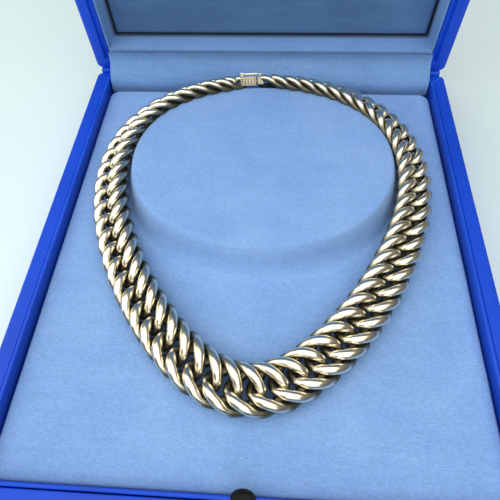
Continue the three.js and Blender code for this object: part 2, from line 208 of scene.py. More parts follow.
def calc(tree, operation, *values, kind="ShaderNodeMath"):
    """The result of one arithmetic node."""
    node = tree.nodes.new(kind)
    node.operation = operation
    for socket, value in zip(node.inputs, values):
        plug(tree, socket, value)
    return node.outputs[0]


def stretched(tree, value, low, high, to_low=0.0, to_high=1.0):
    """A value's range, low to high, moved to a new range and clamped there."""
    inputs = {"Value": value, "From Min": low, "From Max": high, "To Min": to_low, "To Max": to_high}
    return add(tree, "ShaderNodeMapRange", inputs).outputs["Result"]


def tinted(tree, share, colour, other):
    """A mix of two colours."""
    node = tree.nodes.new("ShaderNodeMix")
    node.data_type = "RGBA"
    for socket, value in zip((node.inputs[0], node.inputs[6], node.inputs[7]), (share, colour, other)):
        plug(tree, socket, value)
    return node.outputs[2]


def placed_pattern(tree, scale):
    """Object coordinates, in metres, times a scale for each axis."""
    place = add(tree, "ShaderNodeTexCoord").outputs["Object"]
    mapping = add(tree, "ShaderNodeMapping", {"Vector": place, "Scale": scale})
    return mapping.outputs["Vector"]


def grain_noise(tree, scale, detail=3.0, stretch=(1, 1, 1), distortion=0.0):
    """Noise of so many features a metre, as a value about 0.5."""
    inputs = {
        "Vector": placed_pattern(tree, stretch),
        "Scale": scale,
        "Detail": detail,
        "Distortion": distortion,
    }
    return add(tree, "ShaderNodeTexNoise", inputs).outputs["Fac"]


def new_group(name, inputs, outputs):
    """An empty shader group with named sockets, and its inner ends."""
    tree = bpy.data.node_groups.new(name, "ShaderNodeTree")
    for label, kind, value in inputs:
        socket = tree.interface.new_socket(label, in_out="INPUT", socket_type="NodeSocket" + kind)
        socket.default_value = value
    for label, kind in outputs:
        tree.interface.new_socket(label, in_out="OUTPUT", socket_type="NodeSocket" + kind)
    start = tree.nodes.new("NodeGroupInput").outputs
    end = tree.nodes.new("NodeGroupOutput").inputs
    return tree, start, end


def finish_named(name, group, values, bump, **constants):
    """A material whose group gives colour, roughness and height, with a bump of (strength, depth)."""
    material = bpy.data.materials.new(name)
    material.use_nodes = True
    tree = material.node_tree
    shader = tree.nodes["Principled BSDF"]
    effect = add(tree, "ShaderNodeGroup", node_tree=group)
    for label, value in values.items():
        effect.inputs[label].default_value = value
    for label, value in constants.items():
        shader.inputs[label.replace("_", " ")].default_value = value
    strength, depth = bump
    relief = {"Height": effect.outputs["Height"], "Strength": strength, "Distance": depth * MM}
    normal = add(tree, "ShaderNodeBump", relief).outputs["Normal"]
    plug(tree, shader.inputs["Base Color"], effect.outputs["Color"])
    plug(tree, shader.inputs["Roughness"], effect.outputs["Roughness"])
    plug(tree, shader.inputs["Normal"], normal)
    return material


print("node helpers ready")

# %% [markdown]
# Velour is a cloth with a short dense pile. Three things tell the eye so: the pile leans this way and
# that in soft patches, faint brush marks run across it, and single fibres make a fine grain. Lint lies
# here and there. The glow at grazing angles is the shader's own sheen.


# %% Velour
def velour_group():
    """A pile that leans in patches, with brush marks, fibres, lint, and painted shade where points are
    marked.
    """
    tree, start, end = new_group(
        "velour_pile",
        [
            ("Pile", "Color", (0.3, 0.5, 0.8, 1)),
            ("Leaning Pile", "Color", (0.25, 0.45, 0.75, 1)),
            ("Patches per Metre", "Float", 40.0),
            ("Streaks", "Float", 0.0),
        ],
        [("Color", "Color"), ("Roughness", "Float"), ("Height", "Float")],
    )
    place = placed_pattern(tree, (1, 1, 1))
    patch_inputs = {"Vector": place, "Scale": start["Patches per Metre"], "Detail": 5.0, "Distortion": 0.5}
    patches = add(tree, "ShaderNodeTexNoise", patch_inputs).outputs["Fac"]
    brushed = grain_noise(tree, 260.0, detail=4.0, stretch=(0.25, 1.6, 1.6))
    fibres = grain_noise(tree, 1500.0, detail=4.0, stretch=(0.5, 1.3, 1.3))
    hand = add(tree, "ShaderNodeMapping", {"Vector": place, "Rotation": (0, 0.7, 0), "Scale": (9, 30, 70)})
    streak_inputs = {"Vector": hand.outputs[0], "Scale": 1.0, "Detail": 3.0}
    streaks = add(tree, "ShaderNodeTexNoise", streak_inputs).outputs[0]
    swept = calc(tree, "MULTIPLY", calc(tree, "SUBTRACT", 0.5, streaks), start["Streaks"])
    lean = calc(tree, "ADD", calc(tree, "MULTIPLY_ADD", brushed, 0.45, patches), swept)
    lean = stretched(tree, lean, 0.52, 0.93)
    colour = tinted(tree, lean, start["Pile"], start["Leaning Pile"])
    fibre_tone_and_shade = stretched(tree, fibres, 0.3, 0.7, 0.86, 1.1)
    # Painted shade: the stored attribute darkens the pile to a sixth where points are marked, in place of
    # the shade that falls in gaps, seams and at edges.
    painted_shade = add(tree, "ShaderNodeAttribute", attribute_name="painted_shade").outputs["Fac"]
    fibre_tone_and_shade = calc(tree, "MULTIPLY", fibre_tone_and_shade, stretched(tree, painted_shade, 0.0, 1.0, 1.0, 0.16))
    colour = calc(tree, "SCALE", colour, kind="ShaderNodeVectorMath")
    plug(tree, colour.node.inputs["Scale"], fibre_tone_and_shade)
    specks = add(tree, "ShaderNodeTexVoronoi", {"Vector": place, "Scale": 95.0})
    near = stretched(tree, specks.outputs["Distance"], 0.045, 0.03)
    pick = add(tree, "ShaderNodeSeparateColor", {"Color": specks.outputs["Color"]}).outputs[0]
    chosen = stretched(tree, pick, 0.9, 0.91)
    lint = calc(tree, "MULTIPLY", calc(tree, "MULTIPLY", near, chosen), 0.35)
    plug(tree, end["Color"], tinted(tree, lint, colour, (0.72, 0.82, 0.95, 1)))
    plug(tree, end["Roughness"], stretched(tree, fibres, 0.3, 0.7, 0.86, 0.98))
    plug(tree, end["Height"], calc(tree, "MULTIPLY_ADD", patches, 0.6, fibres))
    return tree


velour = velour_group()
pad_velour = finish_named(
    "pad_velour",
    velour,
    {"Pile": (0.27, 0.475, 0.86, 1), "Leaning Pile": (0.222, 0.415, 0.80, 1), "Patches per Metre": 42.0},
    (0.5, 0.5),
    Sheen_Weight=0.25,
    Sheen_Roughness=0.45,
    Sheen_Tint=(0.75, 0.86, 1.0, 1),
)
lid_velour = finish_named(
    "lid_velour",
    velour,
    {"Pile": (0.215, 0.41, 0.76, 1), "Leaning Pile": (0.165, 0.34, 0.66, 1), "Patches per Metre": 26.0},
    (0.5, 0.5),
    Sheen_Weight=0.2,
    Sheen_Roughness=0.5,
    Sheen_Tint=(0.7, 0.8, 1.0, 1),
)
# Painted shade: the sunk panel's velour is given about half the lining's brightness, for the shade in the
# well.
shaded_panel_velour = finish_named(
    "shaded_panel_velour",
    velour,
    {
        "Pile": (0.115, 0.25, 0.475, 1),
        "Leaning Pile": (0.08, 0.185, 0.37, 1),
        "Patches per Metre": 18.0,
        "Streaks": 1.0,
    },
    (0.5, 0.5),
    Sheen_Weight=0.2,
    Sheen_Roughness=0.5,
    Sheen_Tint=(0.7, 0.8, 1.0, 1),
)


def mark(piece, name, values):
    """Stores a number for each point, which the finishes read."""
    layer = piece.data.attributes.new(name, "FLOAT", "POINT")
    layer.data.foreach_set("value", np.asarray(values, np.float32))


def points_of(piece):
    """A mesh's points as rows, in metres."""
    return np.array([vertex.co for vertex in piece.data.vertices])


print("velours made")

# %% [markdown]
# Leatherette is a coated paper or cloth pressed with a fine pebble grain. It takes a satin light, and it
# wears a little paler where it wraps over an edge. Cells of a Voronoi pattern make the pebbles, noise
# breaks them up, and the mesh's own curvature finds the edges.


# %% Leatherette
def leatherette_group():
    """Pressed pebbles, cloudy dye and paler edges, with painted shade where points are marked."""
    tree, start, end = new_group(
        "pebble_grain",
        [
            ("Dye", "Color", (0.01, 0.1, 0.8, 1)),
            ("Worn", "Color", (0.1, 0.25, 0.9, 1)),
            ("Pebbles per Metre", "Float", 1300.0),
            ("Gloss", "Float", 0.4),
        ],
        [("Color", "Color"), ("Roughness", "Float"), ("Height", "Float")],
    )
    place = placed_pattern(tree, (1, 1, 1))
    cells = add(tree, "ShaderNodeTexVoronoi", {"Vector": place, "Scale": start["Pebbles per Metre"]})
    pebbles = stretched(tree, cells.outputs["Distance"], 0.0, 0.75, 1.0, 0.0)
    fine = grain_noise(tree, 2600.0, detail=2.0)
    cloudy = grain_noise(tree, 32.0, detail=4.0)
    curve = add(tree, "ShaderNodeNewGeometry").outputs["Pointiness"]
    rubbed = stretched(tree, cloudy, 0.35, 0.7, 0.1, 0.55)
    worn = calc(tree, "MULTIPLY", stretched(tree, curve, 0.52, 0.62), rubbed)
    plain = add(tree, "ShaderNodeAttribute", attribute_name="plain").outputs["Fac"]
    worn = calc(tree, "MULTIPLY", worn, stretched(tree, plain, 0.0, 1.0, 1.0, 0.0))
    colour = tinted(tree, worn, start["Dye"], start["Worn"])
    shade = stretched(tree, calc(tree, "MULTIPLY_ADD", pebbles, 0.25, cloudy), 0.35, 0.95, 0.86, 1.12)
    # Painted shade: the stored attribute darkens the covering to an eighth where points are marked, in place
    # of the shade deep in the lid's well and down the lip.
    painted_shade = add(tree, "ShaderNodeAttribute", attribute_name="painted_shade").outputs["Fac"]
    shade = calc(tree, "MULTIPLY", shade, stretched(tree, painted_shade, 0.0, 1.0, 1.0, 0.12))
    colour = calc(tree, "SCALE", colour, kind="ShaderNodeVectorMath")
    plug(tree, colour.node.inputs["Scale"], shade)
    gloss = calc(tree, "ADD", start["Gloss"], stretched(tree, cloudy, 0.3, 0.7, -0.05, 0.08))
    plug(tree, end["Color"], colour)
    plug(tree, end["Roughness"], gloss)
    plug(tree, end["Height"], calc(tree, "MULTIPLY_ADD", fine, 0.3, pebbles))
    return tree


leatherette = finish_named(
    "blue_leatherette",
    leatherette_group(),
    {
        "Dye": (0.002, 0.073, 0.70, 1),
        "Worn": (0.05, 0.2, 0.95, 1),
        "Pebbles per Metre": 1500.0,
        "Gloss": 0.42,
    },
    (0.28, 0.12),
    Specular_IOR_Level=0.32,
)
print("leatherette made")

# %% [markdown]
# Polished gold is nearly all reflection, so what makes it real is small: a haze of fine scratches that
# changes the roughness. A darker, duller tone is painted shade on the links' sides and on the wires that
# pass beneath; the links carry it as an attribute made with their wires.


# %% Metals
def metal_group():
    """Polished metal with fine scratches, darker and rougher where painted shade is marked."""
    tree, start, end = new_group(
        "handled_metal",
        [
            ("Polished", "Color", (0.9, 0.8, 0.6, 1)),
            ("Cloud and Shade", "Color", (0.5, 0.4, 0.2, 1)),
            ("Smooth", "Float", 0.14),
            ("Hazy", "Float", 0.3),
        ],
        [("Color", "Color"), ("Roughness", "Float"), ("Height", "Float")],
    )
    painted_metal_shade = add(tree, "ShaderNodeAttribute", attribute_name="painted_metal_shade").outputs["Fac"]
    clouds = grain_noise(tree, 260.0, detail=4.0)
    scratches = grain_noise(tree, 1400.0, detail=2.0, stretch=(0.3, 2.2, 1.0))
    # Painted shade: marked points mix towards the darker colour, along with faint clouds of random tone.
    cloud_and_shade = calc(tree, "MULTIPLY_ADD", painted_metal_shade, 0.95, stretched(tree, clouds, 0.5, 0.8, 0.0, 0.2))
    plug(tree, end["Color"], tinted(tree, cloud_and_shade, start["Polished"], start["Cloud and Shade"]))
    haze = calc(tree, "ADD", calc(tree, "MULTIPLY", scratches, 0.35), calc(tree, "MULTIPLY", cloud_and_shade, 0.8))
    roughness = calc(tree, "SUBTRACT", start["Hazy"], start["Smooth"])
    plug(tree, end["Roughness"], calc(tree, "MULTIPLY_ADD", roughness, haze, start["Smooth"]))
    plug(tree, end["Height"], scratches)
    return tree


metal = metal_group()
# The gold's darker colour is painted shade for the links' sides and lower wires.
gold = finish_named(
    "pale_gold",
    metal,
    {"Polished": (0.97, 0.90, 0.71, 1), "Cloud and Shade": (0.16, 0.14, 0.085, 1), "Smooth": 0.17, "Hazy": 0.42},
    (0.06, 0.03),
    Metallic=1.0,
)
brass = finish_named(
    "satin_brass",
    metal,
    {"Polished": (0.72, 0.55, 0.27, 1), "Cloud and Shade": (0.4, 0.28, 0.12, 1), "Smooth": 0.28, "Hazy": 0.6},
    (0.15, 0.05),
    Metallic=1.0,
)
black = finish_named(
    "black_lacquer",
    metal,
    {"Polished": (0.006, 0.008, 0.008, 1), "Cloud and Shade": (0.012, 0.014, 0.012, 1), "Smooth": 0.22, "Hazy": 0.45},
    (0.08, 0.03),
    Specular_IOR_Level=0.12,
)
print("metals made")


# %% [markdown]
# The tray is a wooden or card shell with its covering wrapped over the rim. Its section starts under the
# floor, turns up the outside, over the rim and down the inside, and each turn has the radius of the
# wrapped edge.

# %% Tray
BASE_WALL = 5.3
FLOOR = 2.5
OUTER_RADIUS = 2.5
INNER_RADIUS = 0.9
CAP_INSET = 30
COVERING = 0.6


def half_width(inset):
    """Half the case's width at an inset, with the covering's own thickness on the outside."""
    return CASE_WIDTH / 2 - inset + COVERING * max(0, 1 - inset)


def case_row(inset, height):
    """The case's outline pushed in by an inset, at a height."""
    radius = max(OUTER_RADIUS - inset, INNER_RADIUS)
    return row_at(outline(half_width(inset), inset - CASE_DEPTH, -inset, radius), height)


def finished(piece, body, slot, material, *stands_for):
    """Gives a piece its material and body, and hides the plain solid that it stands for; the slot is not
    used.
    """
    if material is not None:
        piece.data.materials.clear()
        piece.data.materials.append(material)
    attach(piece, body)
    if stands_for:
        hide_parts(*stands_for)
    return told(piece)


EDGE_RINGS = (2.0, 5.0)


def outside(bottom):
    """A shell's outer side, bottom to rim, with rings that keep the wear close to the edges."""
    near, far = EDGE_RINGS
    under = [(far, bottom, 0), (near, bottom, 0), (0, bottom, 0.8)]
    side = [(0, bottom + near, 0), (0, bottom + far, 0), (0, -far, 0), (0, -near, 0)]
    return [*under, *side, (0, 0, 0.8)]


tray_section = rounded(
    [
        (CAP_INSET, -BASE_HEIGHT, 0),
        *outside(-BASE_HEIGHT),
        (BASE_WALL, 0, 0.5),
        (BASE_WALL, FLOOR - BASE_HEIGHT, 0.5),
        (CAP_INSET, FLOOR - BASE_HEIGHT, 0),
    ]
)
tray_rows = [in_base(case_row(inset, height)) for inset, height in tray_section]
tray = piece_from("tray", *skin(tray_rows))


def plain_face(piece, depths, depth):
    """Marks a shell's wide outer face, which no hand rubs, so that wear stays at its edges."""
    within = np.abs(points_of(piece)[:, 0]) / MM < CASE_WIDTH / 2 - EDGE_RINGS[1] + 0.1
    mark(piece, "plain", within & (depths > depth - 0.1))


plain_face(tray, (edge[2] - points_of(tray)[:, 2]) / MM, BASE_HEIGHT)
finished(tray, "root", "leatherette", leatherette, "base_case")

# %% [markdown]
# A separate wrapped board lines the front and sides of the tray and stands a little above the rim: the
# lid's rebate closes over it. Its section runs along a path in the shape of a U, so the same skin
# function makes it, with open rows and a closed stack.

# %% Lip
LIP_INSET = BASE_WALL + 0.4
LIP_THICKNESS = 1.5
LIP_RISE = 0.8


def u_path(inset, height, steps=5):
    """Down the left side, round the front and up the right side, pushed in by an inset."""
    half = CASE_WIDTH / 2 - inset
    front = inset - CASE_DEPTH
    back = -BASE_WALL - 0.3
    turned = np.roll(outline(half, front, back, INNER_RADIUS, steps), steps + 1, axis=0)[: 2 * steps + 2]
    ends = np.array([[-half, back], [half, back]])
    return row_at(np.concatenate([ends[:1], turned, ends[1:]]), height)


lip_section = rounded(
    [
        (LIP_INSET, FLOOR - BASE_HEIGHT + 0.3, 0.1),
        (LIP_INSET, LIP_RISE, 0.6),
        (LIP_INSET + LIP_THICKNESS, LIP_RISE, 0.6),
        (LIP_INSET + LIP_THICKNESS, -0.6, 0),
        (LIP_INSET + LIP_THICKNESS, -4.4, 0),
        (LIP_INSET + LIP_THICKNESS, FLOOR - BASE_HEIGHT + 0.3, 0.1),
    ]
)
lip_rows = [in_base(u_path(inset, height)) for inset, height in lip_section]
lip = piece_from("tray_lip", *skin(lip_rows, closed_rows=False, closed_stack=True))
# Painted shade: the lip grows darker down its face towards the pad.
mark(lip, "painted_shade", 0.5 * np.clip(((edge[2] - points_of(lip)[:, 2]) / MM + 0.4) / 3.6, 0, 1))
finished(lip, "root", "leatherette", leatherette, "base_lip")

# %% [markdown]
# The lid is the same shell, shallower, with a rebate cut in its rim for the lip. It is drawn rim up and
# stood open by in_lid, so nothing about it has to be worked out on a slant.

# %% Lid
REBATE_RIM = 5
REBATE_DEPTH = 1.9
LID_WALL = 7.4
LID_BOARD = 2.2


def lid_row(inset, height):
    """The lid's outline pushed in by an inset, at a height above its rim."""
    radius = max(OUTER_RADIUS - inset, INNER_RADIUS)
    return row_at(outline(half_width(inset), inset, CASE_DEPTH - inset, radius), height)


lid_section = rounded(
    [
        (CAP_INSET, -LID_HEIGHT, 0),
        *outside(-LID_HEIGHT),
        (REBATE_RIM, 0, 0.4),
        (REBATE_RIM, -REBATE_DEPTH, 0.2),
        (LID_WALL, -REBATE_DEPTH, 0.3),
        (LID_WALL, LID_BOARD - LID_HEIGHT, 0.3),
        (CAP_INSET, LID_BOARD - LID_HEIGHT, 0),
    ]
)
POCKET_DEPTH = 3.6
POCKET_PLACE = (0.6, 203.4)
POCKET_HALF = (4.4, 3.1)


def pocket():
    """The room for the catch's head in the lid's front wall, as a solid to cut with."""
    turns = np.linspace(0, 2 * math.pi, 40, endpoint=False)
    oval = np.column_stack([np.cos(turns), np.sin(turns)]) * POCKET_HALF + POCKET_PLACE
    return piece_from("pocket", *skin([in_lid(row_at(oval, height)) for height in (-POCKET_DEPTH, 2)]))


def keep_shape(piece):
    """Makes what a piece's modifiers give its plain mesh."""
    graph = bpy.context.evaluated_depsgraph_get()
    mesh = bpy.data.meshes.new_from_object(piece.evaluated_get(graph))
    piece.modifiers.clear()
    piece.data = mesh


def cut_by(piece, cutter):
    """Takes a solid out of a piece."""
    modifier = piece.modifiers.new("cut", "BOOLEAN")
    modifier.object = cutter
    modifier.operation = "DIFFERENCE"
    modifier.solver = "EXACT"
    keep_shape(piece)
    piece.data.set_sharp_from_angle(angle=math.radians(40))
    bpy.data.objects.remove(cutter)


lid = piece_from("lid_shell", *skin([in_lid(lid_row(inset, height)) for inset, height in lid_section]))
cut_by(lid, pocket())
deep = (points_of(lid)[:, 1] - edge[1]) / MM - LID_SHIFT
sideways = np.abs(points_of(lid)[:, 0]) / MM
in_well = (deep < LID_HEIGHT - LID_BOARD + 0.3) & (sideways < CASE_WIDTH / 2 - LID_WALL + 0.3)
# Painted shade: the covering deep in the well, seen in the gap round the panel, is darkened.
mark(lid, "painted_shade", in_well * np.clip((deep - 10) / 4, 0, 1))
plain_face(lid, deep, LID_HEIGHT)
finished(lid, "lid", "leatherette", leatherette, "lid_case")

# %% [markdown]
# Velour-covered card lines the well of the lid. It is thin on three sides and thick on the hinge side, so
# its outline is a mix of an outer and an inner rectangle, and the section's first number is the share of
# the way in.

# %% Lid lining
LINING_OUT = LID_WALL + 0.3
LINING_IN = LINING_OUT + 0.9
HINGE_LINING = 10.2
PANEL_BACK = LID_BOARD - LID_HEIGHT + 0.3


def lining_row(share, height):
    """An outline from the lining's outer face (0) to its inner face (1)."""
    side = LINING_OUT + share * (LINING_IN - LINING_OUT)
    hinge = LINING_OUT + share * (HINGE_LINING - LINING_OUT)
    points = outline(CASE_WIDTH / 2 - side, hinge, CASE_DEPTH - side, INNER_RADIUS)
    return row_at(points, height)


lining_section = rounded(
    [
        (0, PANEL_BACK, 0.05),
        (0, -REBATE_DEPTH, 0.3),
        (1, -REBATE_DEPTH, 0.4),
        (1, -12.2, 0),
        (1, -13.4, 0),
        (1, -14.4, 0),
        (1, PANEL_BACK, 0.05),
    ]
)
lining_rows = [in_lid(lining_row(share, height)) for share, height in lining_section]
lining = piece_from("well_lining", *skin(lining_rows, closed_stack=True))
depths = LID_SHIFT - (points_of(lining)[:, 1] - edge[1]) / MM
# Painted shade: the lining darkens towards the sunk panel.
mark(lining, "painted_shade", np.clip((-12.2 - depths) / 2.6, 0, 1))
cut_by(lining, pocket())
finished(lining, "lid", "lining", lid_velour, "lid_lining")

# %% [markdown]
# The sunk panel is a thin pad: velour over wadding on a card. Real wadding pushes the cloth up between
# its held edges, so a sheet of cloth is inflated with its border pinned, scaled back to the small crown
# that it has, and then given rolled edges and a back. The cloth solver gives a softer, less even crown
# than a formula would.

# %% Lid panel
PANEL_SINK = 13.9
PANEL_INSET = 0.9
PANEL_CROWN = 0.8
PANEL_CELL = 4.0


def flat_sheet(name, low, high, cell, height):
    """A grid of cloth between two corners, in millimetres."""
    counts = [max(2, round((b - a) / cell)) for a, b in zip(low, high)]
    x, y = (np.linspace(a, b, count + 1) for a, b, count in zip(low, high, counts))
    points = [(u, v, height) for v in y for u in x]
    wide = counts[0] + 1
    faces = [
        (j * wide + i, j * wide + i + 1, (j + 1) * wide + i + 1, (j + 1) * wide + i)
        for j in range(counts[1])
        for i in range(counts[0])
    ]
    return piece_from(name, np.array(points) * MM, faces)


def on_border(mesh):
    """Which points lie on the sheet's outside edge."""
    co = np.array([vertex.co for vertex in mesh.vertices])
    low, high = co.min(0), co.max(0)
    return ((np.abs(co[:, :2] - low[:2]) < 1e-6) | (np.abs(co[:, :2] - high[:2]) < 1e-6)).any(1)


def swell(sheet, crown):
    """Inflates a sheet with its border pinned, and scales the rise to its crown, in millimetres."""
    rest = np.array([vertex.co for vertex in sheet.data.vertices])
    pins = sheet.vertex_groups.new(name="pins")
    pins.add([int(index) for index in np.flatnonzero(on_border(sheet.data))], 1.0, "REPLACE")
    cloth = sheet.modifiers.new("cloth", "CLOTH")
    cloth.settings.vertex_group_mass = "pins"
    cloth.settings.use_pressure = True
    cloth.settings.uniform_pressure_force = 4.0
    cloth.settings.effector_weights.gravity = 0.0
    cloth.point_cache.frame_start = 1
    cloth.point_cache.frame_end = 20
    scene = bpy.context.scene
    for step in range(1, 21):
        scene.frame_set(step)
    graph = bpy.context.evaluated_depsgraph_get()
    moved = np.array([vertex.co for vertex in sheet.evaluated_get(graph).data.vertices])
    sheet.modifiers.remove(cloth)
    sheet.vertex_groups.clear()
    scene.frame_set(1)
    rise = np.abs(moved[:, 2] - rest[:, 2])
    rest[:, 2] += rise * crown * MM / max(rise.max(), 1e-9)
    sheet.data.vertices.foreach_set("co", rest.ravel())
    sheet.data.update()
    print(f"{sheet.name}: the cloth rose {rise.max() / MM:.2f} mm, kept {crown} mm")


def close_pad(sheet, rolls, depth):
    """Rolls a sheet's border over by steps of (outwards, down), then closes it with a flat back."""
    shape = bmesh.new()
    shape.from_mesh(sheet.data)
    co = np.array([vertex.co for vertex in shape.verts])
    low, high = co.min(0), co.max(0)
    border = [e for e in shape.edges if e.is_boundary]
    for out, down in [*rolls, (0, depth)]:
        grown = bmesh.ops.extrude_edge_only(shape, edges=border)["geom"]
        for vertex in (item for item in grown if isinstance(item, bmesh.types.BMVert)):
            for axis in (0, 1):
                if vertex.co[axis] < low[axis] + 1e-6:
                    vertex.co[axis] -= out * MM
                if vertex.co[axis] > high[axis] - 1e-6:
                    vertex.co[axis] += out * MM
            vertex.co.z -= down * MM
        low[:2] -= out * MM
        high[:2] += out * MM
        border = [item for item in grown if isinstance(item, bmesh.types.BMEdge)]
    bmesh.ops.edgeloop_fill(shape, edges=border)
    bmesh.ops.recalc_face_normals(shape, faces=shape.faces)
    shape.to_mesh(sheet.data)
    shape.free()
    sheet.data.shade_smooth()
    sheet.data.set_sharp_from_angle(angle=math.radians(50))


def subdivided(piece, levels):
    """Applies a subdivision surface."""
    modifier = piece.modifiers.new("smooth", "SUBSURF")
    modifier.levels = modifier.render_levels = levels
    modifier.boundary_smooth = "PRESERVE_CORNERS"
    keep_shape(piece)


def place_mesh(piece, placer):
    """Moves a mesh drawn at the origin in metres to its place in the case."""
    piece.data.vertices.foreach_set("co", placer(points_of(piece) / MM).ravel())
    piece.data.update()


panel_side = LINING_IN + PANEL_INSET
panel_roll = [(0.9, 0.15), (0.8, 0.5), (0.5, 0.8), (0.1, 0.7)]
roll_out = sum(out for out, _ in panel_roll)
panel = flat_sheet(
    "lid_pad",
    (panel_side + roll_out - CASE_WIDTH / 2, HINGE_LINING + PANEL_INSET + roll_out),
    (CASE_WIDTH / 2 - panel_side - roll_out, CASE_DEPTH - panel_side - roll_out),
    PANEL_CELL,
    -PANEL_SINK,
)
swell(panel, PANEL_CROWN)
subdivided(panel, 1)
close_pad(panel, panel_roll, 0.4)
# Painted shade: the panel darkens where its edge rolls down into the gap.
mark(panel, "painted_shade", np.clip((-PANEL_SINK - 0.2 - points_of(panel)[:, 2] / MM) / 0.7, 0, 1))
place_mesh(panel, in_lid)
finished(panel, "lid", "lining", shaded_panel_velour, "lid_panel")

# %% [markdown]
# The display pad is foam and card under stretched velour. Its neck form is a flattened egg: a
# superellipse that is grown outwards ring by ring while the height falls along a smooth curve, more
# slowly at the front, where the collar bones would be. Outside the foot of the form the rings turn into
# the pad's own rectangle.

# %% Display pad
PAD_SINK = 4.8
PAD_HALF_WIDTH = 85.5
PAD_FRONT = -202.5
PAD_BACK = -8.8
FORM_HALF_WIDTH = 57.5
FORM_HALF_LENGTH = 45.5
FORM_CENTRE = -66.0
FORM_HEIGHT = 11.5
FORM_POWER = 2.12
FORM_SLOPE = 5.2
FORM_FRONT_SLOPE = 6.0
FORM_PROFILE = [(1.3, 0), (1.04, 0.04), (0.78, 0.28), (0.56, 0.66), (0.36, 0.91), (0.14, 0.98), (-0.3, 1.0)]
UNEVEN_DEPTH, UNEVEN_SIZE = 0.14, 14.0
PAD_CORNER = 5.0
PAD_EDGE = 1.3


def form_ring(turns, grow):
    """The form's outline at some turns round it (radians), grown outwards."""
    cosine, sine = np.cos(turns), np.sin(turns)
    reach = grow * (FORM_SLOPE + FORM_FRONT_SLOPE * np.maximum(0, -sine) ** 2)
    power = 2 / FORM_POWER
    x = np.sign(cosine) * (np.abs(cosine) ** power * FORM_HALF_WIDTH + np.abs(cosine) * reach)
    y = np.sign(sine) * (np.abs(sine) ** power * FORM_HALF_LENGTH + np.abs(sine) * reach)
    return np.column_stack([x, y + FORM_CENTRE])


def dense_outline(inset, spacing=2.0):
    """The pad's rectangle pushed in, with points every so many millimetres."""
    corners = outline(PAD_HALF_WIDTH - inset, PAD_FRONT + inset, PAD_BACK - inset, PAD_CORNER - inset, 6)
    points = []
    for start, end in zip(corners, np.roll(corners, -1, axis=0)):
        count = max(1, round(float(np.linalg.norm(end - start)) / spacing))
        points += [start + (end - start) * step / count for step in range(count)]
    return np.array(points)


def smooth_steps(knots, count):
    """Points along a Catmull-Rom curve through knots."""
    knots = np.array(knots, float)
    padded = np.vstack([2 * knots[0] - knots[1], knots, 2 * knots[-1] - knots[-2]])
    result = []
    for at in np.linspace(0, len(knots) - 1.000001, count):
        index, t = int(at), at - int(at)
        a, b, c, d = padded[index : index + 4]
        result.append(
            0.5 * (2 * b + (c - a) * t + (2 * a - 5 * b + 4 * c - d) * t**2 + (3 * b - a - 3 * c + d) * t**3)
        )
    return result


def pad_rows():
    """Rings of the pad from its underside, over its edge and up the form to the middle of its top."""
    border = dense_outline(PAD_EDGE)
    fine_turns = np.linspace(-math.pi, math.pi, 4001)
    foot = form_ring(fine_turns, FORM_PROFILE[0][0])
    seen = np.unwrap(np.arctan2(foot[:, 1] - FORM_CENTRE, foot[:, 0]))
    wanted = np.arctan2(border[:, 1] - FORM_CENTRE, border[:, 0])
    turns = np.interp(wanted, seen, fine_turns)
    rows = [row_at(border * 0.9 + np.array([0, -10]), -17.0)]
    for height in (-17.0, -PAD_SINK - PAD_EDGE):
        rows.append(row_at(border + outward(border) * PAD_EDGE, height))
    for step in range(1, 5):
        angle = math.pi / 2 * step / 4
        out = PAD_EDGE * math.cos(angle)
        rows.append(row_at(border + outward(border) * out, -PAD_SINK - PAD_EDGE * (1 - math.sin(angle))))
    ring = form_ring(turns, FORM_PROFILE[0][0])
    for share in np.linspace(0, 1, 17)[1:]:
        rows.append(row_at(border + (ring - border) * share, -PAD_SINK))
    for grow, height in smooth_steps(FORM_PROFILE, 26)[1:]:
        rows.append(row_at(form_ring(turns, grow), height * FORM_HEIGHT - PAD_SINK))
    top = form_ring(turns, FORM_PROFILE[-1][0])
    middle = np.array([0, FORM_CENTRE])
    for share in np.linspace(0, 0.97, 16)[1:]:
        rows.append(row_at(top + (middle - top) * share, FORM_HEIGHT - PAD_SINK))
    return rows


def outward(points):
    """Unit steps away from a closed outline that runs counter-clockwise."""
    along = np.roll(points, -1, axis=0) - np.roll(points, 1, axis=0)
    along /= np.linalg.norm(along, axis=1)[:, None]
    return np.column_stack([along[:, 1], -along[:, 0]])


def settle(points, depth, size):
    """Adds the slight unevenness of foam under cloth, in millimetres."""
    soft = [noise.noise(Vector((x / size, y / size, 0.0))) for x, y, _ in points]
    lifted = points.copy()
    lifted[:, 2] += depth * np.array(soft)
    return lifted


pad_skin = skin([in_base(settle(row, UNEVEN_DEPTH, UNEVEN_SIZE)) for row in pad_rows()])
display_pad = piece_from("display_pad_velour", *pad_skin)
# Painted shade: the pad darkens where it rounds down at its edge beside the lip.
sunk = (edge[2] - points_of(display_pad)[:, 2]) / MM - PAD_SINK
mark(display_pad, "painted_shade", 0.45 * np.clip((sunk - 0.25) / 1.0, 0, 1))
finished(display_pad, "root", "velour", pad_velour, "display_pad")

# %% [markdown]
# A strip of the same velour crosses the hinge, from behind the pad to the lining of the lid. It is a
# sheet that was cut flat, glued along both edges and left loose between them, so it hangs in a soft curve
# and ripples a little along its length. In the case it turns with the lid; here it is left on neither body.

# %% Hinge strip
STRIP_CURVE = [(-8.3, -6), (-8, -2.6), (-7, 0.6), (-4.6, 3.3), (-1.8, 5.6), (0.1, 8.3), (0.5, 11.7)]
STRIP_THICKNESS = 0.8
STRIP_HALF = 84.9
STRIP_STEPS = 26
STRIP_COLUMNS = 86
RIPPLE = 0.22
RIPPLE_LENGTH = (13, 9)


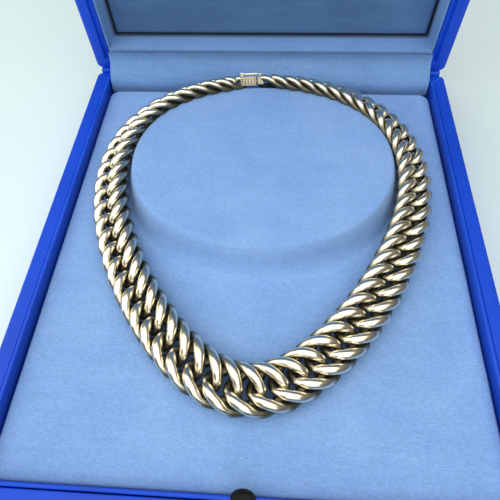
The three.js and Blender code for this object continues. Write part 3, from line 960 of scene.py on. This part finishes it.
def sheet_rows(curve, steps, thickness, half, count, ripple=0.0):
    """Rows along a sheet's length, up its face and down its other side, and the face's line."""
    face = np.array(smooth_steps(curve, steps))
    slope = np.gradient(face, axis=0)
    slope /= np.linalg.norm(slope, axis=1)[:, None]
    behind = face + np.column_stack([slope[:, 1], -slope[:, 0]]) * thickness
    loose = np.sin(np.linspace(0, math.pi, steps)) ** 2
    across = np.linspace(-half, half, count)
    rows = []
    for side, order in ((face, 1), (behind, -1)):
        for (y, z), give in list(zip(side, loose))[::order]:
            waves = [noise.noise(Vector((x / RIPPLE_LENGTH[0], z / RIPPLE_LENGTH[1], 3.0))) for x in across]
            moved = give * ripple * np.array(waves)
            rows.append(np.column_stack([across, y + moved, z + moved]))
    return rows, face


def blended(sheet):
    """Bakes a sheet's place into its points."""
    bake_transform(sheet)


rows, face_line = sheet_rows(STRIP_CURVE, STRIP_STEPS, STRIP_THICKNESS, STRIP_HALF, STRIP_COLUMNS, RIPPLE)
strip = piece_from("hinge_cloth", *skin([in_base(row) for row in rows], False, True), sharp=60)
strip.data.materials.append(lid_velour)
# Painted shade: the strip darkens towards its foot behind the pad, and a little at its top edge by the seam.
heights = (points_of(strip)[:, 2] - edge[2]) / MM
shade_below_rim = 0.45 * np.clip((-0.5 - heights) / 3.5, 0, 1)
mark(strip, "painted_shade", shade_below_rim + 0.3 * np.clip((heights - 10.4) / 1.2, 0, 1))
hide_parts("hinge_strip")
blended(strip)
told(strip)

# %% [markdown]
# Outside, a narrow spine of the case's own leatherette bridges the hinge, glued under the leaves. It is
# another sheet, so it is made by the same rows: a curve for the face, the same curve set back for its
# other side.

# %% Spine cloth
SPINE_CURVE = [(0.05, -4), (0.05, -0.4), (0.08, 0.6), (0.45, 1.35), (1.2, 1.72), (2.4, 1.76), (5.5, 1.76)]
SPINE_THICKNESS = 0.2
SPINE_HALF = 91.4
SPINE_STEPS = 24
SPINE_COLUMNS = 40

spine_rows, spine_line = sheet_rows(SPINE_CURVE, SPINE_STEPS, SPINE_THICKNESS, SPINE_HALF, SPINE_COLUMNS)
spine = piece_from("spine_cloth", *skin([in_base(row) for row in spine_rows], False, True), sharp=60)
spine.data.materials.append(leatherette)
blended(spine)
told(spine)

# %% [markdown]
# The catch is a black lacquered post in the middle of the front rim: an oval with a thin rim and a
# slightly domed top, which the lid's front wall closes over.

# %% Front catch
CATCH_HALF = (3.9, 2.6)
CATCH_PLACE = (0.6, -203.4)
CATCH_RISE = 2.6


def catch_row(inset, height):
    """An oval pushed in by an inset."""
    turns = np.linspace(0, 2 * math.pi, 48, endpoint=False)
    x = CATCH_PLACE[0] + (CATCH_HALF[0] - inset) * np.cos(turns)
    y = CATCH_PLACE[1] + (CATCH_HALF[1] - inset) * np.sin(turns)
    return in_base(row_at(np.column_stack([x, y]), height))


catch_section = rounded(
    [
        (0.8, -9, 0),
        (0, -8.6, 0.3),
        (0, CATCH_RISE - 0.2, 0.4),
        (0.5, CATCH_RISE - 0.2, 0.15),
        (0.62, CATCH_RISE - 0.35, 0.1),
        (0.8, CATCH_RISE - 0.3, 0.1),
        (1.5, CATCH_RISE - 0.05, 0.3),
        (2.3, CATCH_RISE, 0),
    ]
)
catch_rows = [catch_row(inset, height) for inset, height in catch_section]
post = piece_from("catch_post", *skin(catch_rows), sharp=60)
finished(post, "root", "catch", black, "front_catch")

# %% [markdown]
# The necklace lies along one curve: an egg that narrows towards the front, measured from the clasp. At
# each place on it the chain has its own axes, along the chain, across it towards the neck, and out of its
# face, because the chain leans against the form at the back and lies flat at the front. The link sizes
# grow with the share of the way to the front.

# %% Route of the necklace
ROUTE_HALF_WIDTH = 65.1
ROUTE_EGG = 20.1
ROUTE_HALF_LENGTH = 77.3
ROUTE_CENTRE = -92.8
LINK_COUNT = 56
PITCH_GROWTH = 1.1
CLASP_ARC = 7.0
CLASP_HALF = 6.0
END_SLACK = 2.2
BACK_BANK, FRONT_BANK = 38, 6
BACK_HEIGHT, FRONT_HEIGHT = 7.8, 0.35


def mix(back, front, share):
    """A value part of the way from the back to the front."""
    return back + (front - back) * share


def measured_route(samples=1440):
    """Turns, places and arc lengths round the loop, from the back by the left side."""
    turns = np.linspace(0, 2 * math.pi, samples + 1)
    x = -np.sin(turns) * (ROUTE_HALF_WIDTH + ROUTE_EGG * np.cos(turns))
    y = ROUTE_CENTRE + ROUTE_HALF_LENGTH * np.cos(turns)
    arcs = np.concatenate([[0], np.cumsum(np.hypot(np.diff(x), np.diff(y)))])
    return turns, np.column_stack([x, y]), arcs


route_turns, route_places, route_arcs = measured_route()


def chain_axes(arc):
    """Place, along, across, face and share of the way to the front, at an arc length, in millimetres."""
    turn = float(np.interp(arc, route_arcs, route_turns))
    share = (1 - math.cos(turn)) / 2
    place = [float(np.interp(arc, route_arcs, route_places[:, axis])) for axis in (0, 1)]
    ahead = [float(np.interp(arc + 0.2, route_arcs, route_places[:, axis])) for axis in (0, 1)]
    behind = [float(np.interp(arc - 0.2, route_arcs, route_places[:, axis])) for axis in (0, 1)]
    along = Vector((ahead[0] - behind[0], ahead[1] - behind[1], 0)).normalized()
    bank = math.radians(mix(BACK_BANK, FRONT_BANK, share**0.6))
    across = Vector((-along.y, along.x, 0)) * math.cos(bank) + Vector((0, 0, math.sin(bank)))
    height = mix(FRONT_HEIGHT, BACK_HEIGHT, (1 - share) ** 2.2)
    return Vector((*place, height)), along, across, along.cross(across), share


def link_stations():
    """Arc length and pitch of each link: even, but growing towards the front."""
    shares = (1 - np.cos(2 * math.pi * (np.arange(LINK_COUNT) + 0.5) / LINK_COUNT)) / 2
    weights = mix(1, PITCH_GROWTH, shares)
    unit = (route_arcs[-1] - 2 * CLASP_HALF) / (weights.sum() + END_SLACK)
    pitches = weights * unit
    starts = CLASP_ARC + CLASP_HALF + END_SLACK / 2 * unit + np.cumsum(pitches) - pitches / 2
    return list(zip(starts % route_arcs[-1], pitches))


stations = link_stations()
small, large = stations[0][1], stations[LINK_COUNT // 2][1]
print(f"loop {route_arcs[-1]:.0f} mm, {len(stations)} links, pitch {small:.2f} to {large:.2f} mm")

# %% [markdown]
# A curb link is an oval of wire, twisted so that it lies flat over its neighbours. In a double curb each
# link also passes through the link two places on, which gives the two rows of slanting strokes. One rule
# makes every link, so Geometry Nodes is the right tool: each station is a point that carries its own axes
# and sizes, a circle is placed on every point, and the rule bends it. The wire is thick where it shows
# and thinner where links pass through each other, as on real graduated collars, which are made of hollow
# tapered wire.


# %% The link tree
def read(tree, name, kind="FLOAT_VECTOR"):
    """A named attribute of the stations."""
    return add(tree, "GeometryNodeInputNamedAttribute", {"Name": name}, data_type=kind).outputs["Attribute"]


def scaled(tree, vector, factor):
    """A vector times a number."""
    node = tree.nodes.new("ShaderNodeVectorMath")
    node.operation = "SCALE"
    plug(tree, node.inputs[0], vector)
    plug(tree, node.inputs["Scale"], factor)
    return node.outputs[0]


def summed(tree, *vectors):
    """The sum of vectors."""
    total = vectors[0]
    for vector in vectors[1:]:
        total = calc(tree, "ADD", total, vector, kind="ShaderNodeVectorMath")
    return total


def stored(tree, geometry, name, value):
    """Keeps a number on each point under a name."""
    inputs = {"Geometry": geometry, "Name": name, "Value": value}
    settings = {"data_type": "FLOAT", "domain": "POINT"}
    return add(tree, "GeometryNodeStoreNamedAttribute", inputs, **settings).outputs[0]


def point_tree(name, sizes):
    """A tree that takes points, named sizes and a finish, and gives geometry."""
    tree = bpy.data.node_groups.new(name, "GeometryNodeTree")
    tree.interface.new_socket("Geometry", in_out="INPUT", socket_type="NodeSocketGeometry")
    for label, kind, value in sizes:
        socket = tree.interface.new_socket(label, in_out="INPUT", socket_type="NodeSocket" + kind)
        socket.default_value = value
    tree.interface.new_socket("Finish", in_out="INPUT", socket_type="NodeSocketMaterial")
    tree.interface.new_socket("Geometry", in_out="OUTPUT", socket_type="NodeSocketGeometry")
    return tree, tree.nodes.new("NodeGroupInput").outputs


def given_out(tree, geometry, finish):
    """Ends a tree: its instances made real, with a finish."""
    real = add(tree, "GeometryNodeRealizeInstances", {"Geometry": geometry}).outputs[0]
    coated = add(tree, "GeometryNodeSetMaterial", {"Geometry": real, "Material": finish}).outputs[0]
    tree.links.new(coated, tree.nodes.new("NodeGroupOutput").inputs[0])
    return tree


def link_tree():
    """Points in, curb links out."""
    sizes = [("Steps", "Int", 44), ("Sides", "Int", 14), ("Taper", "Float", 0.24), ("Slant", "Float", 0.06)]
    tree, start = point_tree("curb_links", sizes)
    circle = add(tree, "GeometryNodeCurvePrimitiveCircle", {"Resolution": start["Steps"], "Radius": MM})
    share = add(tree, "GeometryNodeSplineParameter").outputs["Factor"]
    marked = stored(tree, circle.outputs[0], "turn", calc(tree, "MULTIPLY", share, 2 * math.pi))
    on_points = {"Points": start["Geometry"], "Instance": marked}
    rings = add(tree, "GeometryNodeInstanceOnPoints", on_points)
    ovals = add(tree, "GeometryNodeRealizeInstances", {"Geometry": rings.outputs[0]}).outputs[0]
    turn = read(tree, "turn", "FLOAT")
    cosine, sine = calc(tree, "COSINE", turn), calc(tree, "SINE", turn)
    triple = calc(tree, "MULTIPLY", turn, 3.0)
    length = calc(tree, "MULTIPLY_ADD", calc(tree, "COSINE", triple), start["Slant"], cosine)
    width = calc(tree, "SUBTRACT", sine, calc(tree, "MULTIPLY", calc(tree, "SINE", triple), start["Slant"]))
    twist = calc(tree, "SINE", calc(tree, "MULTIPLY", turn, 2.0))
    reach = add(tree, "ShaderNodeSeparateXYZ", {"Vector": read(tree, "reach")}).outputs
    place = summed(
        tree,
        read(tree, "place"),
        scaled(tree, read(tree, "along"), calc(tree, "MULTIPLY", reach[0], length)),
        scaled(tree, read(tree, "across"), calc(tree, "MULTIPLY", reach[1], width)),
        scaled(tree, read(tree, "face"), calc(tree, "MULTIPLY", reach[2], twist)),
    )
    bent = add(tree, "GeometryNodeSetPosition", {"Geometry": ovals, "Position": place}).outputs[0]
    hidden = stretched(tree, twist, 0.35, -0.25)
    kept = stored(tree, bent, "hidden", hidden)
    slim = calc(tree, "SUBTRACT", 1.0, calc(tree, "POWER", calc(tree, "ABSOLUTE", twist), 0.8))
    thinned = calc(tree, "SUBTRACT", 1.0, calc(tree, "MULTIPLY", slim, start["Taper"]))
    swollen = calc(tree, "MULTIPLY_ADD", hidden, read(tree, "under", "FLOAT"), thinned)
    wire = calc(tree, "MULTIPLY", read(tree, "wire", "FLOAT"), swollen)
    section = add(tree, "GeometryNodeCurvePrimitiveCircle", {"Resolution": start["Sides"], "Radius": 1.0})
    tubes = add(
        tree,
        "GeometryNodeCurveToMesh",
        {"Curve": kept, "Profile Curve": section.outputs[0], "Scale": wire},
    ).outputs[0]
    normal = add(tree, "GeometryNodeInputNormal").outputs[0]
    facing = tree.nodes.new("ShaderNodeVectorMath")
    facing.operation = "DOT_PRODUCT"
    plug(tree, facing.inputs[0], normal)
    plug(tree, facing.inputs[1], read(tree, "face"))
    # Painted shade: the wire's sides turned away from the chain's face, and the hidden lower wires, are
    # marked to take the darker colour.
    flank = stretched(tree, facing.outputs["Value"], 0.3, -0.35)
    painted_metal_shade = calc(tree, "MAXIMUM", flank, read(tree, "hidden", "FLOAT"))
    shaded_tubes = stored(tree, tubes, "painted_metal_shade", painted_metal_shade)
    smooth = add(tree, "GeometryNodeSetShadeSmooth", {"Geometry": shaded_tubes, "Shade Smooth": True}).outputs[0]
    return given_out(tree, smooth, start["Finish"])


def point_cloud(name, columns):
    """An object of loose points that carry named attributes: numbers or vectors, one for each point."""
    count = len(next(iter(columns.values())))
    mesh = bpy.data.meshes.new(name)
    mesh.from_pydata([tuple(p) for p in columns["place"]], [], [])
    for label, values in columns.items():
        values = np.asarray(values, np.float32)
        vector = values.ndim == 2
        attribute = mesh.attributes.new(label, "FLOAT_VECTOR" if vector else "FLOAT", "POINT")
        attribute.data.foreach_set("vector" if vector else "value", values.ravel())
    points = bpy.data.objects.new(name, mesh)
    bpy.context.scene.collection.objects.link(points)
    print(f"{name}: {count} points")
    return points


def grown(points, tree, **values):
    """Runs a tree on an object with named inputs, and keeps the result as its plain mesh."""
    modifier = points.modifiers.new("grown", "NODES")
    modifier.node_group = tree
    for item in tree.interface.items_tree:
        if item.in_out == "INPUT" and item.name in values:
            modifier[item.identifier] = values[item.name]
    bpy.context.view_layer.update()
    keep_shape(points)
    return points


links_rule = link_tree()
print("nodes in the link tree:", len(links_rule.nodes))

# %% [markdown]
# The stations become two strands, because each link only bears on the one two places on: the odd links
# are one interlaced strand and the even links the other. At the clasp a shorter link is soldered to each
# end.

# %% Chain
BACK_WIRE, FRONT_WIRE = 1.7, 2.0
BACK_HALF_WIDTH, FRONT_HALF_WIDTH = 4.6, 7.4
BACK_RISE, FRONT_RISE = 2.2, 2.75
CHAIN_SETTLE = 0.8


def link_at(arc, pitch, shrink=1.0):
    """What one station carries."""
    place, along, across, face, share = chain_axes(arc)
    wire = mix(BACK_WIRE, FRONT_WIRE, share**0.6)
    half_width = mix(BACK_HALF_WIDTH, FRONT_HALF_WIDTH, share**0.8) * shrink
    reach = Vector((pitch * shrink + 0.75 * wire, half_width, mix(BACK_RISE, FRONT_RISE, share) * shrink))
    place.z -= CHAIN_SETTLE * (1 - share) ** 2
    return {
        "place": in_base([place])[0],
        "along": tuple(along),
        "across": tuple(across),
        "face": tuple(face),
        "reach": tuple(reach * MM),
        "wire": wire * MM,
        "under": mix(-0.15, 0.12, share),
    }


END_SHRINK = 0.86
END_STEP = 0.86


def strand(name, first):
    """Every second link, and the short one that joins the strand to the clasp."""
    links = [link_at(arc, pitch) for arc, pitch in stations[first::2]]
    (arc, pitch), step = ((stations[-1], 1), (stations[0], -1))[first]
    links.append(link_at((arc + step * pitch * END_STEP) % route_arcs[-1], pitch, END_SHRINK))
    columns = {key: [link[key] for link in links] for key in links[0]}
    return grown(point_cloud(name, columns), links_rule, Steps=44, Sides=16, Finish=gold)


for first in (0, 1):
    chain = strand(f"curb_links_{first + 1}", first)
    finished(chain, "root", "gold", None, f"chain_strand_{first + 1}")

# %% [markdown]
# The clasp is a box with a spring tongue: a thumb cap on the tongue's end, and over both a fold-over
# safety catch that snaps on a stud. It is made in the chain's own axes at its station. Small parts like
# these are blocks with eased edges and short rods, so two helpers draw those into one mesh.


# %% Clasp
def clasp_matrix():
    """The clasp's own axes and place, for shapes drawn in millimetres."""
    place, along, across, face, _ = chain_axes(CLASP_ARC)
    turn = Matrix((along, across, face)).transposed().to_4x4()
    return Matrix.Translation(Vector(in_base([place])[0])) @ turn @ Matrix.Scale(MM, 4)


def block(shape, low, high, ease, segments=3):
    """A block between two corners with eased edges."""
    size = Vector(high) - Vector(low)
    middle = (Vector(high) + Vector(low)) / 2
    matrix = Matrix.Translation(middle) @ Matrix.Diagonal((*size, 1))
    made = bmesh.ops.create_cube(shape, size=1.0, matrix=matrix)["verts"]
    edges = list({e for vertex in made for e in vertex.link_edges})
    bmesh.ops.bevel(shape, geom=edges, offset=ease, segments=segments, profile=0.5, affect="EDGES")


def rod(shape, start, end, radius, sides=20, end_radius=None):
    """A rod between two points."""
    start, end = Vector(start), Vector(end)
    turn = (end - start).to_track_quat("Z", "Y").to_matrix().to_4x4()
    bmesh.ops.create_cone(
        shape,
        cap_ends=True,
        segments=sides,
        radius1=radius,
        radius2=radius if end_radius is None else end_radius,
        depth=(end - start).length,
        matrix=Matrix.Translation((start + end) / 2) @ turn,
    )


def bead(shape, centre, radius, segments=10):
    """A small ball."""
    place = Matrix.Translation(centre)
    rings = segments // 2 + 1
    bmesh.ops.create_uvsphere(shape, u_segments=segments, v_segments=rings, radius=radius, matrix=place)


def from_shape(name, shape, matrix, sharp=35):
    """A mesh drawn in millimetres, put in place by a matrix."""
    bmesh.ops.recalc_face_normals(shape, faces=shape.faces)
    shape.transform(matrix)
    mesh = bpy.data.meshes.new(name)
    shape.to_mesh(mesh)
    shape.free()
    mesh.shade_smooth()
    mesh.set_sharp_from_angle(angle=math.radians(sharp))
    piece = bpy.data.objects.new(name, mesh)
    bpy.context.scene.collection.objects.link(piece)
    return piece


CLASP_SPLIT = -2.2
BOX_HALF = (3.1, 2.2)
CAP_HALF = (2.7, 1.9)
PIVOT_X, PIVOT_Z = 5.2, 3.35
STUD_X = -4.0
clasp_place = clasp_matrix()


def milgrain(shape, start, end, count, radius):
    """A row of small beads along an edge."""
    for step in range(count):
        bead(shape, Vector(start).lerp(Vector(end), step / (count - 1)), radius, 8)


def box_clasp():
    """The box with its beaded edges, studs and the hinge of the safety catch."""
    shape = bmesh.new()
    wide, thick = BOX_HALF
    block(shape, (CLASP_SPLIT, -wide, -thick), (CLASP_HALF, wide, thick), 0.45)
    for side in (-1, 1):
        for face in (-1, 1):
            start = (CLASP_SPLIT + 0.5, side * (wide - 0.15), face * (thick - 0.15))
            end = (CLASP_HALF - 0.5, side * (wide - 0.15), face * (thick - 0.15))
            milgrain(shape, start, end, 13, 0.28)
    for x in np.arange(CLASP_SPLIT + 1.2, CLASP_HALF - 0.6, 1.5):
        for z in (-0.95, 0.0, 0.95):
            rod(shape, (x, wide - 0.1, z), (x, wide + 0.5, z), 0.62, 4, 0.06)
    for side in (-1.2, 1.2):
        block(shape, (PIVOT_X - 0.6, side - 0.35, 1.5), (PIVOT_X + 0.6, side + 0.35, PIVOT_Z + 0.6), 0.16, 2)
        bead(shape, (PIVOT_X, side * 1.32, PIVOT_Z), 0.42, 12)
    rod(shape, (PIVOT_X, -1.4, PIVOT_Z), (PIVOT_X, 1.4, PIVOT_Z), 0.34)
    return from_shape("box_clasp", shape, clasp_place)


def tongue():
    """The tongue, its ribbed thumb cap and the stud."""
    shape = bmesh.new()
    wide, thick = CAP_HALF
    block(shape, (-CLASP_HALF, -wide, -thick), (CLASP_SPLIT - 0.3, wide, thick), 0.4)
    block(shape, (CLASP_SPLIT - 0.6, -2.0, -0.45), (CLASP_SPLIT + 0.6, 2.0, 0.45), 0.15, 2)
    for x in (-5.2, -4.5, -3.8, -3.1):
        rod(shape, (x, wide - 0.12, -1.2), (x, wide - 0.12, 1.2), 0.26, 12)
    rod(shape, (STUD_X, 0, thick - 0.4), (STUD_X, 0, 3.3), 0.42)
    bead(shape, (STUD_X, 0, 3.45), 0.6, 16)
    return from_shape("tongue_and_cap", shape, clasp_place)


def shade_between(piece, half, amount=0.66):
    """Paints shade on a block's flat faces, darker than the beads and wires that stand on them."""
    inverse = np.array(clasp_place.inverted())
    local = points_of(piece) @ inverse[:3, :3].T + inverse[:3, 3]
    flat = (np.abs(local[:, 1]) < half[0] + 0.1) & (np.abs(local[:, 2]) < half[1] + 0.1)
    mark(piece, "painted_metal_shade", amount * flat)
    return piece


finished(shade_between(box_clasp(), BOX_HALF), "root", "gold", gold, "clasp_box")
finished(shade_between(tongue(), CAP_HALF), "root", "gold", gold, "clasp_tongue")

# %% [markdown]
# The fold-over catch is a slim shank from the hinge barrel to a ring that drops over the stud. It is the
# part that turns, so it is a piece of its own on its own body.

# %% Safety catch
SAFETY_Z = PIVOT_Z
EYE_RADIUS = 1.12
EYE_WIRE = 0.4


def ring_of_wire(shape, centre, radius, wire, turns=40, sides=12):
    """A torus lying in the plane of the clasp's face."""
    rows = []
    for turn in np.linspace(0, 2 * math.pi, turns, endpoint=False):
        out = Vector((math.cos(turn), math.sin(turn), 0))
        ring = []
        for side in np.linspace(0, 2 * math.pi, sides, endpoint=False):
            offset = out * (radius + wire * math.cos(side)) + Vector((0, 0, wire * math.sin(side)))
            ring.append(shape.verts.new(Vector(centre) + offset))
        rows.append(ring)
    for row, following in zip(rows, rows[1:] + rows[:1]):
        for index in range(sides):
            ahead = (index + 1) % sides
            shape.faces.new((row[index], row[ahead], following[ahead], following[index]))


def fold_over():
    """The safety catch: an eye, a shank and a barrel."""
    shape = bmesh.new()
    ring_of_wire(shape, (STUD_X, 0, SAFETY_Z), EYE_RADIUS, EYE_WIRE)
    block(shape, (STUD_X + EYE_RADIUS, -0.85, SAFETY_Z - 0.4), (PIVOT_X - 0.3, 0.85, SAFETY_Z + 0.45), 0.3)
    block(shape, (STUD_X - 1.75, -0.5, SAFETY_Z - 0.3), (STUD_X - EYE_RADIUS, 0.5, SAFETY_Z + 0.3), 0.2)
    rod(shape, (PIVOT_X, -0.7, SAFETY_Z), (PIVOT_X, 0.7, SAFETY_Z), 0.68, 24)
    return from_shape("fold_over_catch", shape, clasp_place)


finished(fold_over(), "safety_catch", "gold", gold, "safety_catch")

# %% [markdown]
# Two small butt hinges of satin brass carry the lid on the outside of the back wall. Their leaves come
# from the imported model, and only want a finish. Slotted screws hold them: one screw is cut in a node tree
# and placed on points that carry a direction, once for the leaves on the tray and once for those on the
# lid.

# %% Hinge leaves
for name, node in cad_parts.items():
    if name.startswith("hinge_leaf"):
        for slot in node.material_slots:
            slot.material = brass


def screw_tree():
    """Points with a direction in, slotted screw heads out."""
    sizes = [("Head Radius", 1.5), ("Head Height", 0.5), ("Slot Width", 0.4)]
    tree, start = point_tree("slotted_screws", [(label, "Float", value * MM) for label, value in sizes])
    head = add(
        tree,
        "GeometryNodeMeshCone",
        {
            "Vertices": 28,
            "Radius Bottom": start["Head Radius"],
            "Radius Top": calc(tree, "MULTIPLY", start["Head Radius"], 0.72),
            "Depth": start["Head Height"],
        },
    )
    size = add(
        tree,
        "ShaderNodeCombineXYZ",
        {
            "X": calc(tree, "MULTIPLY", start["Head Radius"], 3.0),
            "Y": start["Slot Width"],
            "Z": start["Head Height"],
        },
    )
    blade = add(tree, "GeometryNodeMeshCube", {"Size": size.outputs[0]})
    lift = add(tree, "ShaderNodeCombineXYZ", {"Z": start["Head Height"]})
    slot = add(tree, "GeometryNodeTransform", {"Geometry": blade.outputs[0], "Translation": lift.outputs[0]})
    cut = add(tree, "GeometryNodeMeshBoolean", operation="DIFFERENCE")
    tree.links.new(head.outputs["Mesh"], cut.inputs["Mesh 1"])
    tree.links.new(slot.outputs[0], cut.inputs["Mesh 2"])
    facing = add(tree, "FunctionNodeAlignRotationToVector", {"Vector": read(tree, "direction")}, axis="Z")
    about = {"Axis": (0, 0, 1), "Angle": read(tree, "spin", "FLOAT")}
    turn = add(tree, "FunctionNodeAxisAngleToRotation", about).outputs[0]
    turned = {"Rotation": facing.outputs[0], "Rotate By": turn}
    spun = add(tree, "FunctionNodeRotateRotation", turned, rotation_space="LOCAL")
    placed = add(
        tree,
        "GeometryNodeInstanceOnPoints",
        {"Points": start["Geometry"], "Instance": cut.outputs["Mesh"], "Rotation": spun.outputs[0]},
    )
    return given_out(tree, placed.outputs[0], start["Finish"])


HINGE_X = (-50, 50)
SCREW_SPACING = 8
TRAY_SCREWS = (1.05, -7.4)
LID_SCREWS = (9.0, 0.75)


def screws(name, body, place, direction):
    """Three screws on each of a body's two leaves, at (y, z) from the hinge edge."""
    xs = [hinge + step * SCREW_SPACING for hinge in HINGE_X for step in (-1, 0, 1)]
    columns = {
        "place": in_base([(x, *place) for x in xs]),
        "direction": [direction] * len(xs),
        "spin": [0.5 + 1.3 * index for index in range(len(xs))],
    }
    return finished(grown(point_cloud(name, columns), screw_rule, Finish=brass), body, "hinge", None)


screw_rule = screw_tree()
screws("tray_screws", "root", TRAY_SCREWS, (0, 1, 0))
screws("lid_screws", "lid", LID_SCREWS, (0, 0, -1))

# %% [markdown]
# A plain pale surface and soft light from a large panel overhead, with a second panel to the left, as by
# a window, and a weaker one in front that fills the shadows. Polished metal shows whatever is around it,
# so the room itself stays dim: the bright panels then draw a crisp line along each link, with dark sides.


# %% Surface, light and camera
FLOOR_HALF = 1.6


def floor():
    """A pale surface under the case."""
    material = bpy.data.materials.new("pale_surface")
    material.use_nodes = True
    tree = material.node_tree
    clouds = grain_noise(tree, 6.0, detail=3.0)
    colour = tinted(tree, clouds, (0.80, 0.985, 0.99, 1), (0.84, 0.99, 0.995, 1))
    plug(tree, tree.nodes["Principled BSDF"].inputs["Base Color"], colour)
    tree.nodes["Principled BSDF"].inputs["Roughness"].default_value = 0.6
    half = FLOOR_HALF
    points = [(-half, -half, 0), (half, -half, 0), (half, half, 0), (-half, half, 0)]
    surface = piece_from("pale_floor", points, [(0, 1, 2, 3)])
    surface.data.materials.append(material)
    return surface


def panel_light(name, place, target, size, power, colour):
    """A rectangular light that faces a target."""
    data = bpy.data.lights.new(name, "AREA")
    data.shape = "RECTANGLE"
    data.size, data.size_y = size
    data.energy = power
    data.color = colour
    lamp = bpy.data.objects.new(name, data)
    lamp.location = place
    lamp.rotation_euler = (Vector(target) - Vector(place)).to_track_quat("-Z", "Y").to_euler()
    bpy.context.scene.collection.objects.link(lamp)
    return lamp


CAMERA_TURNS = (6.474, 58.0, -3.611)
CAMERA_PLACE = (8.721, -212.925, 161.373)
CAMERA_LENS = 33.071


def camera():
    """Placed by where it stands, its heading, its tilt down and its roll."""
    yaw, pitch, roll = (math.radians(value) for value in CAMERA_TURNS)
    forward = Vector((-math.sin(yaw) * math.cos(pitch), math.cos(yaw) * math.cos(pitch), -math.sin(pitch)))
    level = Vector((math.cos(yaw), math.sin(yaw), 0))
    upright = level.cross(forward)
    right = level * math.cos(roll) + upright * math.sin(roll)
    up = upright * math.cos(roll) - level * math.sin(roll)
    data = bpy.data.cameras.new("camera")
    data.lens = CAMERA_LENS
    data.sensor_width = 36.0
    data.clip_start = 0.01
    view = bpy.data.objects.new("camera", data)
    turn = Matrix((right, up, -forward)).transposed().to_4x4()
    view.matrix_world = Matrix.Translation(Vector(in_base([CAMERA_PLACE])[0])) @ turn
    bpy.context.scene.collection.objects.link(view)
    bpy.context.scene.camera = view


def room(strength, low, high):
    """A dim room, brighter overhead."""
    world = bpy.data.worlds.new("room")
    world.use_nodes = True
    tree = world.node_tree
    direction = add(tree, "ShaderNodeTexCoord").outputs["Generated"]
    height = add(tree, "ShaderNodeSeparateXYZ", {"Vector": direction}).outputs["Z"]
    colour = tinted(tree, stretched(tree, height, -0.1, 0.9), low, high)
    background = tree.nodes["Background"]
    plug(tree, background.inputs["Color"], colour)
    background.inputs["Strength"].default_value = strength
    bpy.context.scene.world = world


floor()
room(0.45, (0.15, 0.14, 0.11, 1), (0.62, 0.62, 0.58, 1))
panel_light("overhead", (-0.03, -0.14, 0.8), (0, 0, 0), (1.55, 1.2), 7.8, (1.0, 0.985, 0.96))
panel_light("window", (-0.8, -0.05, 0.42), (0, -0.02, 0.02), (0.8, 0.6), 2.2, (0.97, 0.985, 1.0))
panel_light("fill", (0.1, -0.85, 0.5), (0, -0.05, 0.02), (1.0, 0.45), 1.7, (0.98, 0.985, 1.0))
camera()
bpy.context.scene.view_settings.view_transform = "Standard"
print("camera at", [round(value, 4) for value in bpy.context.scene.camera.location])
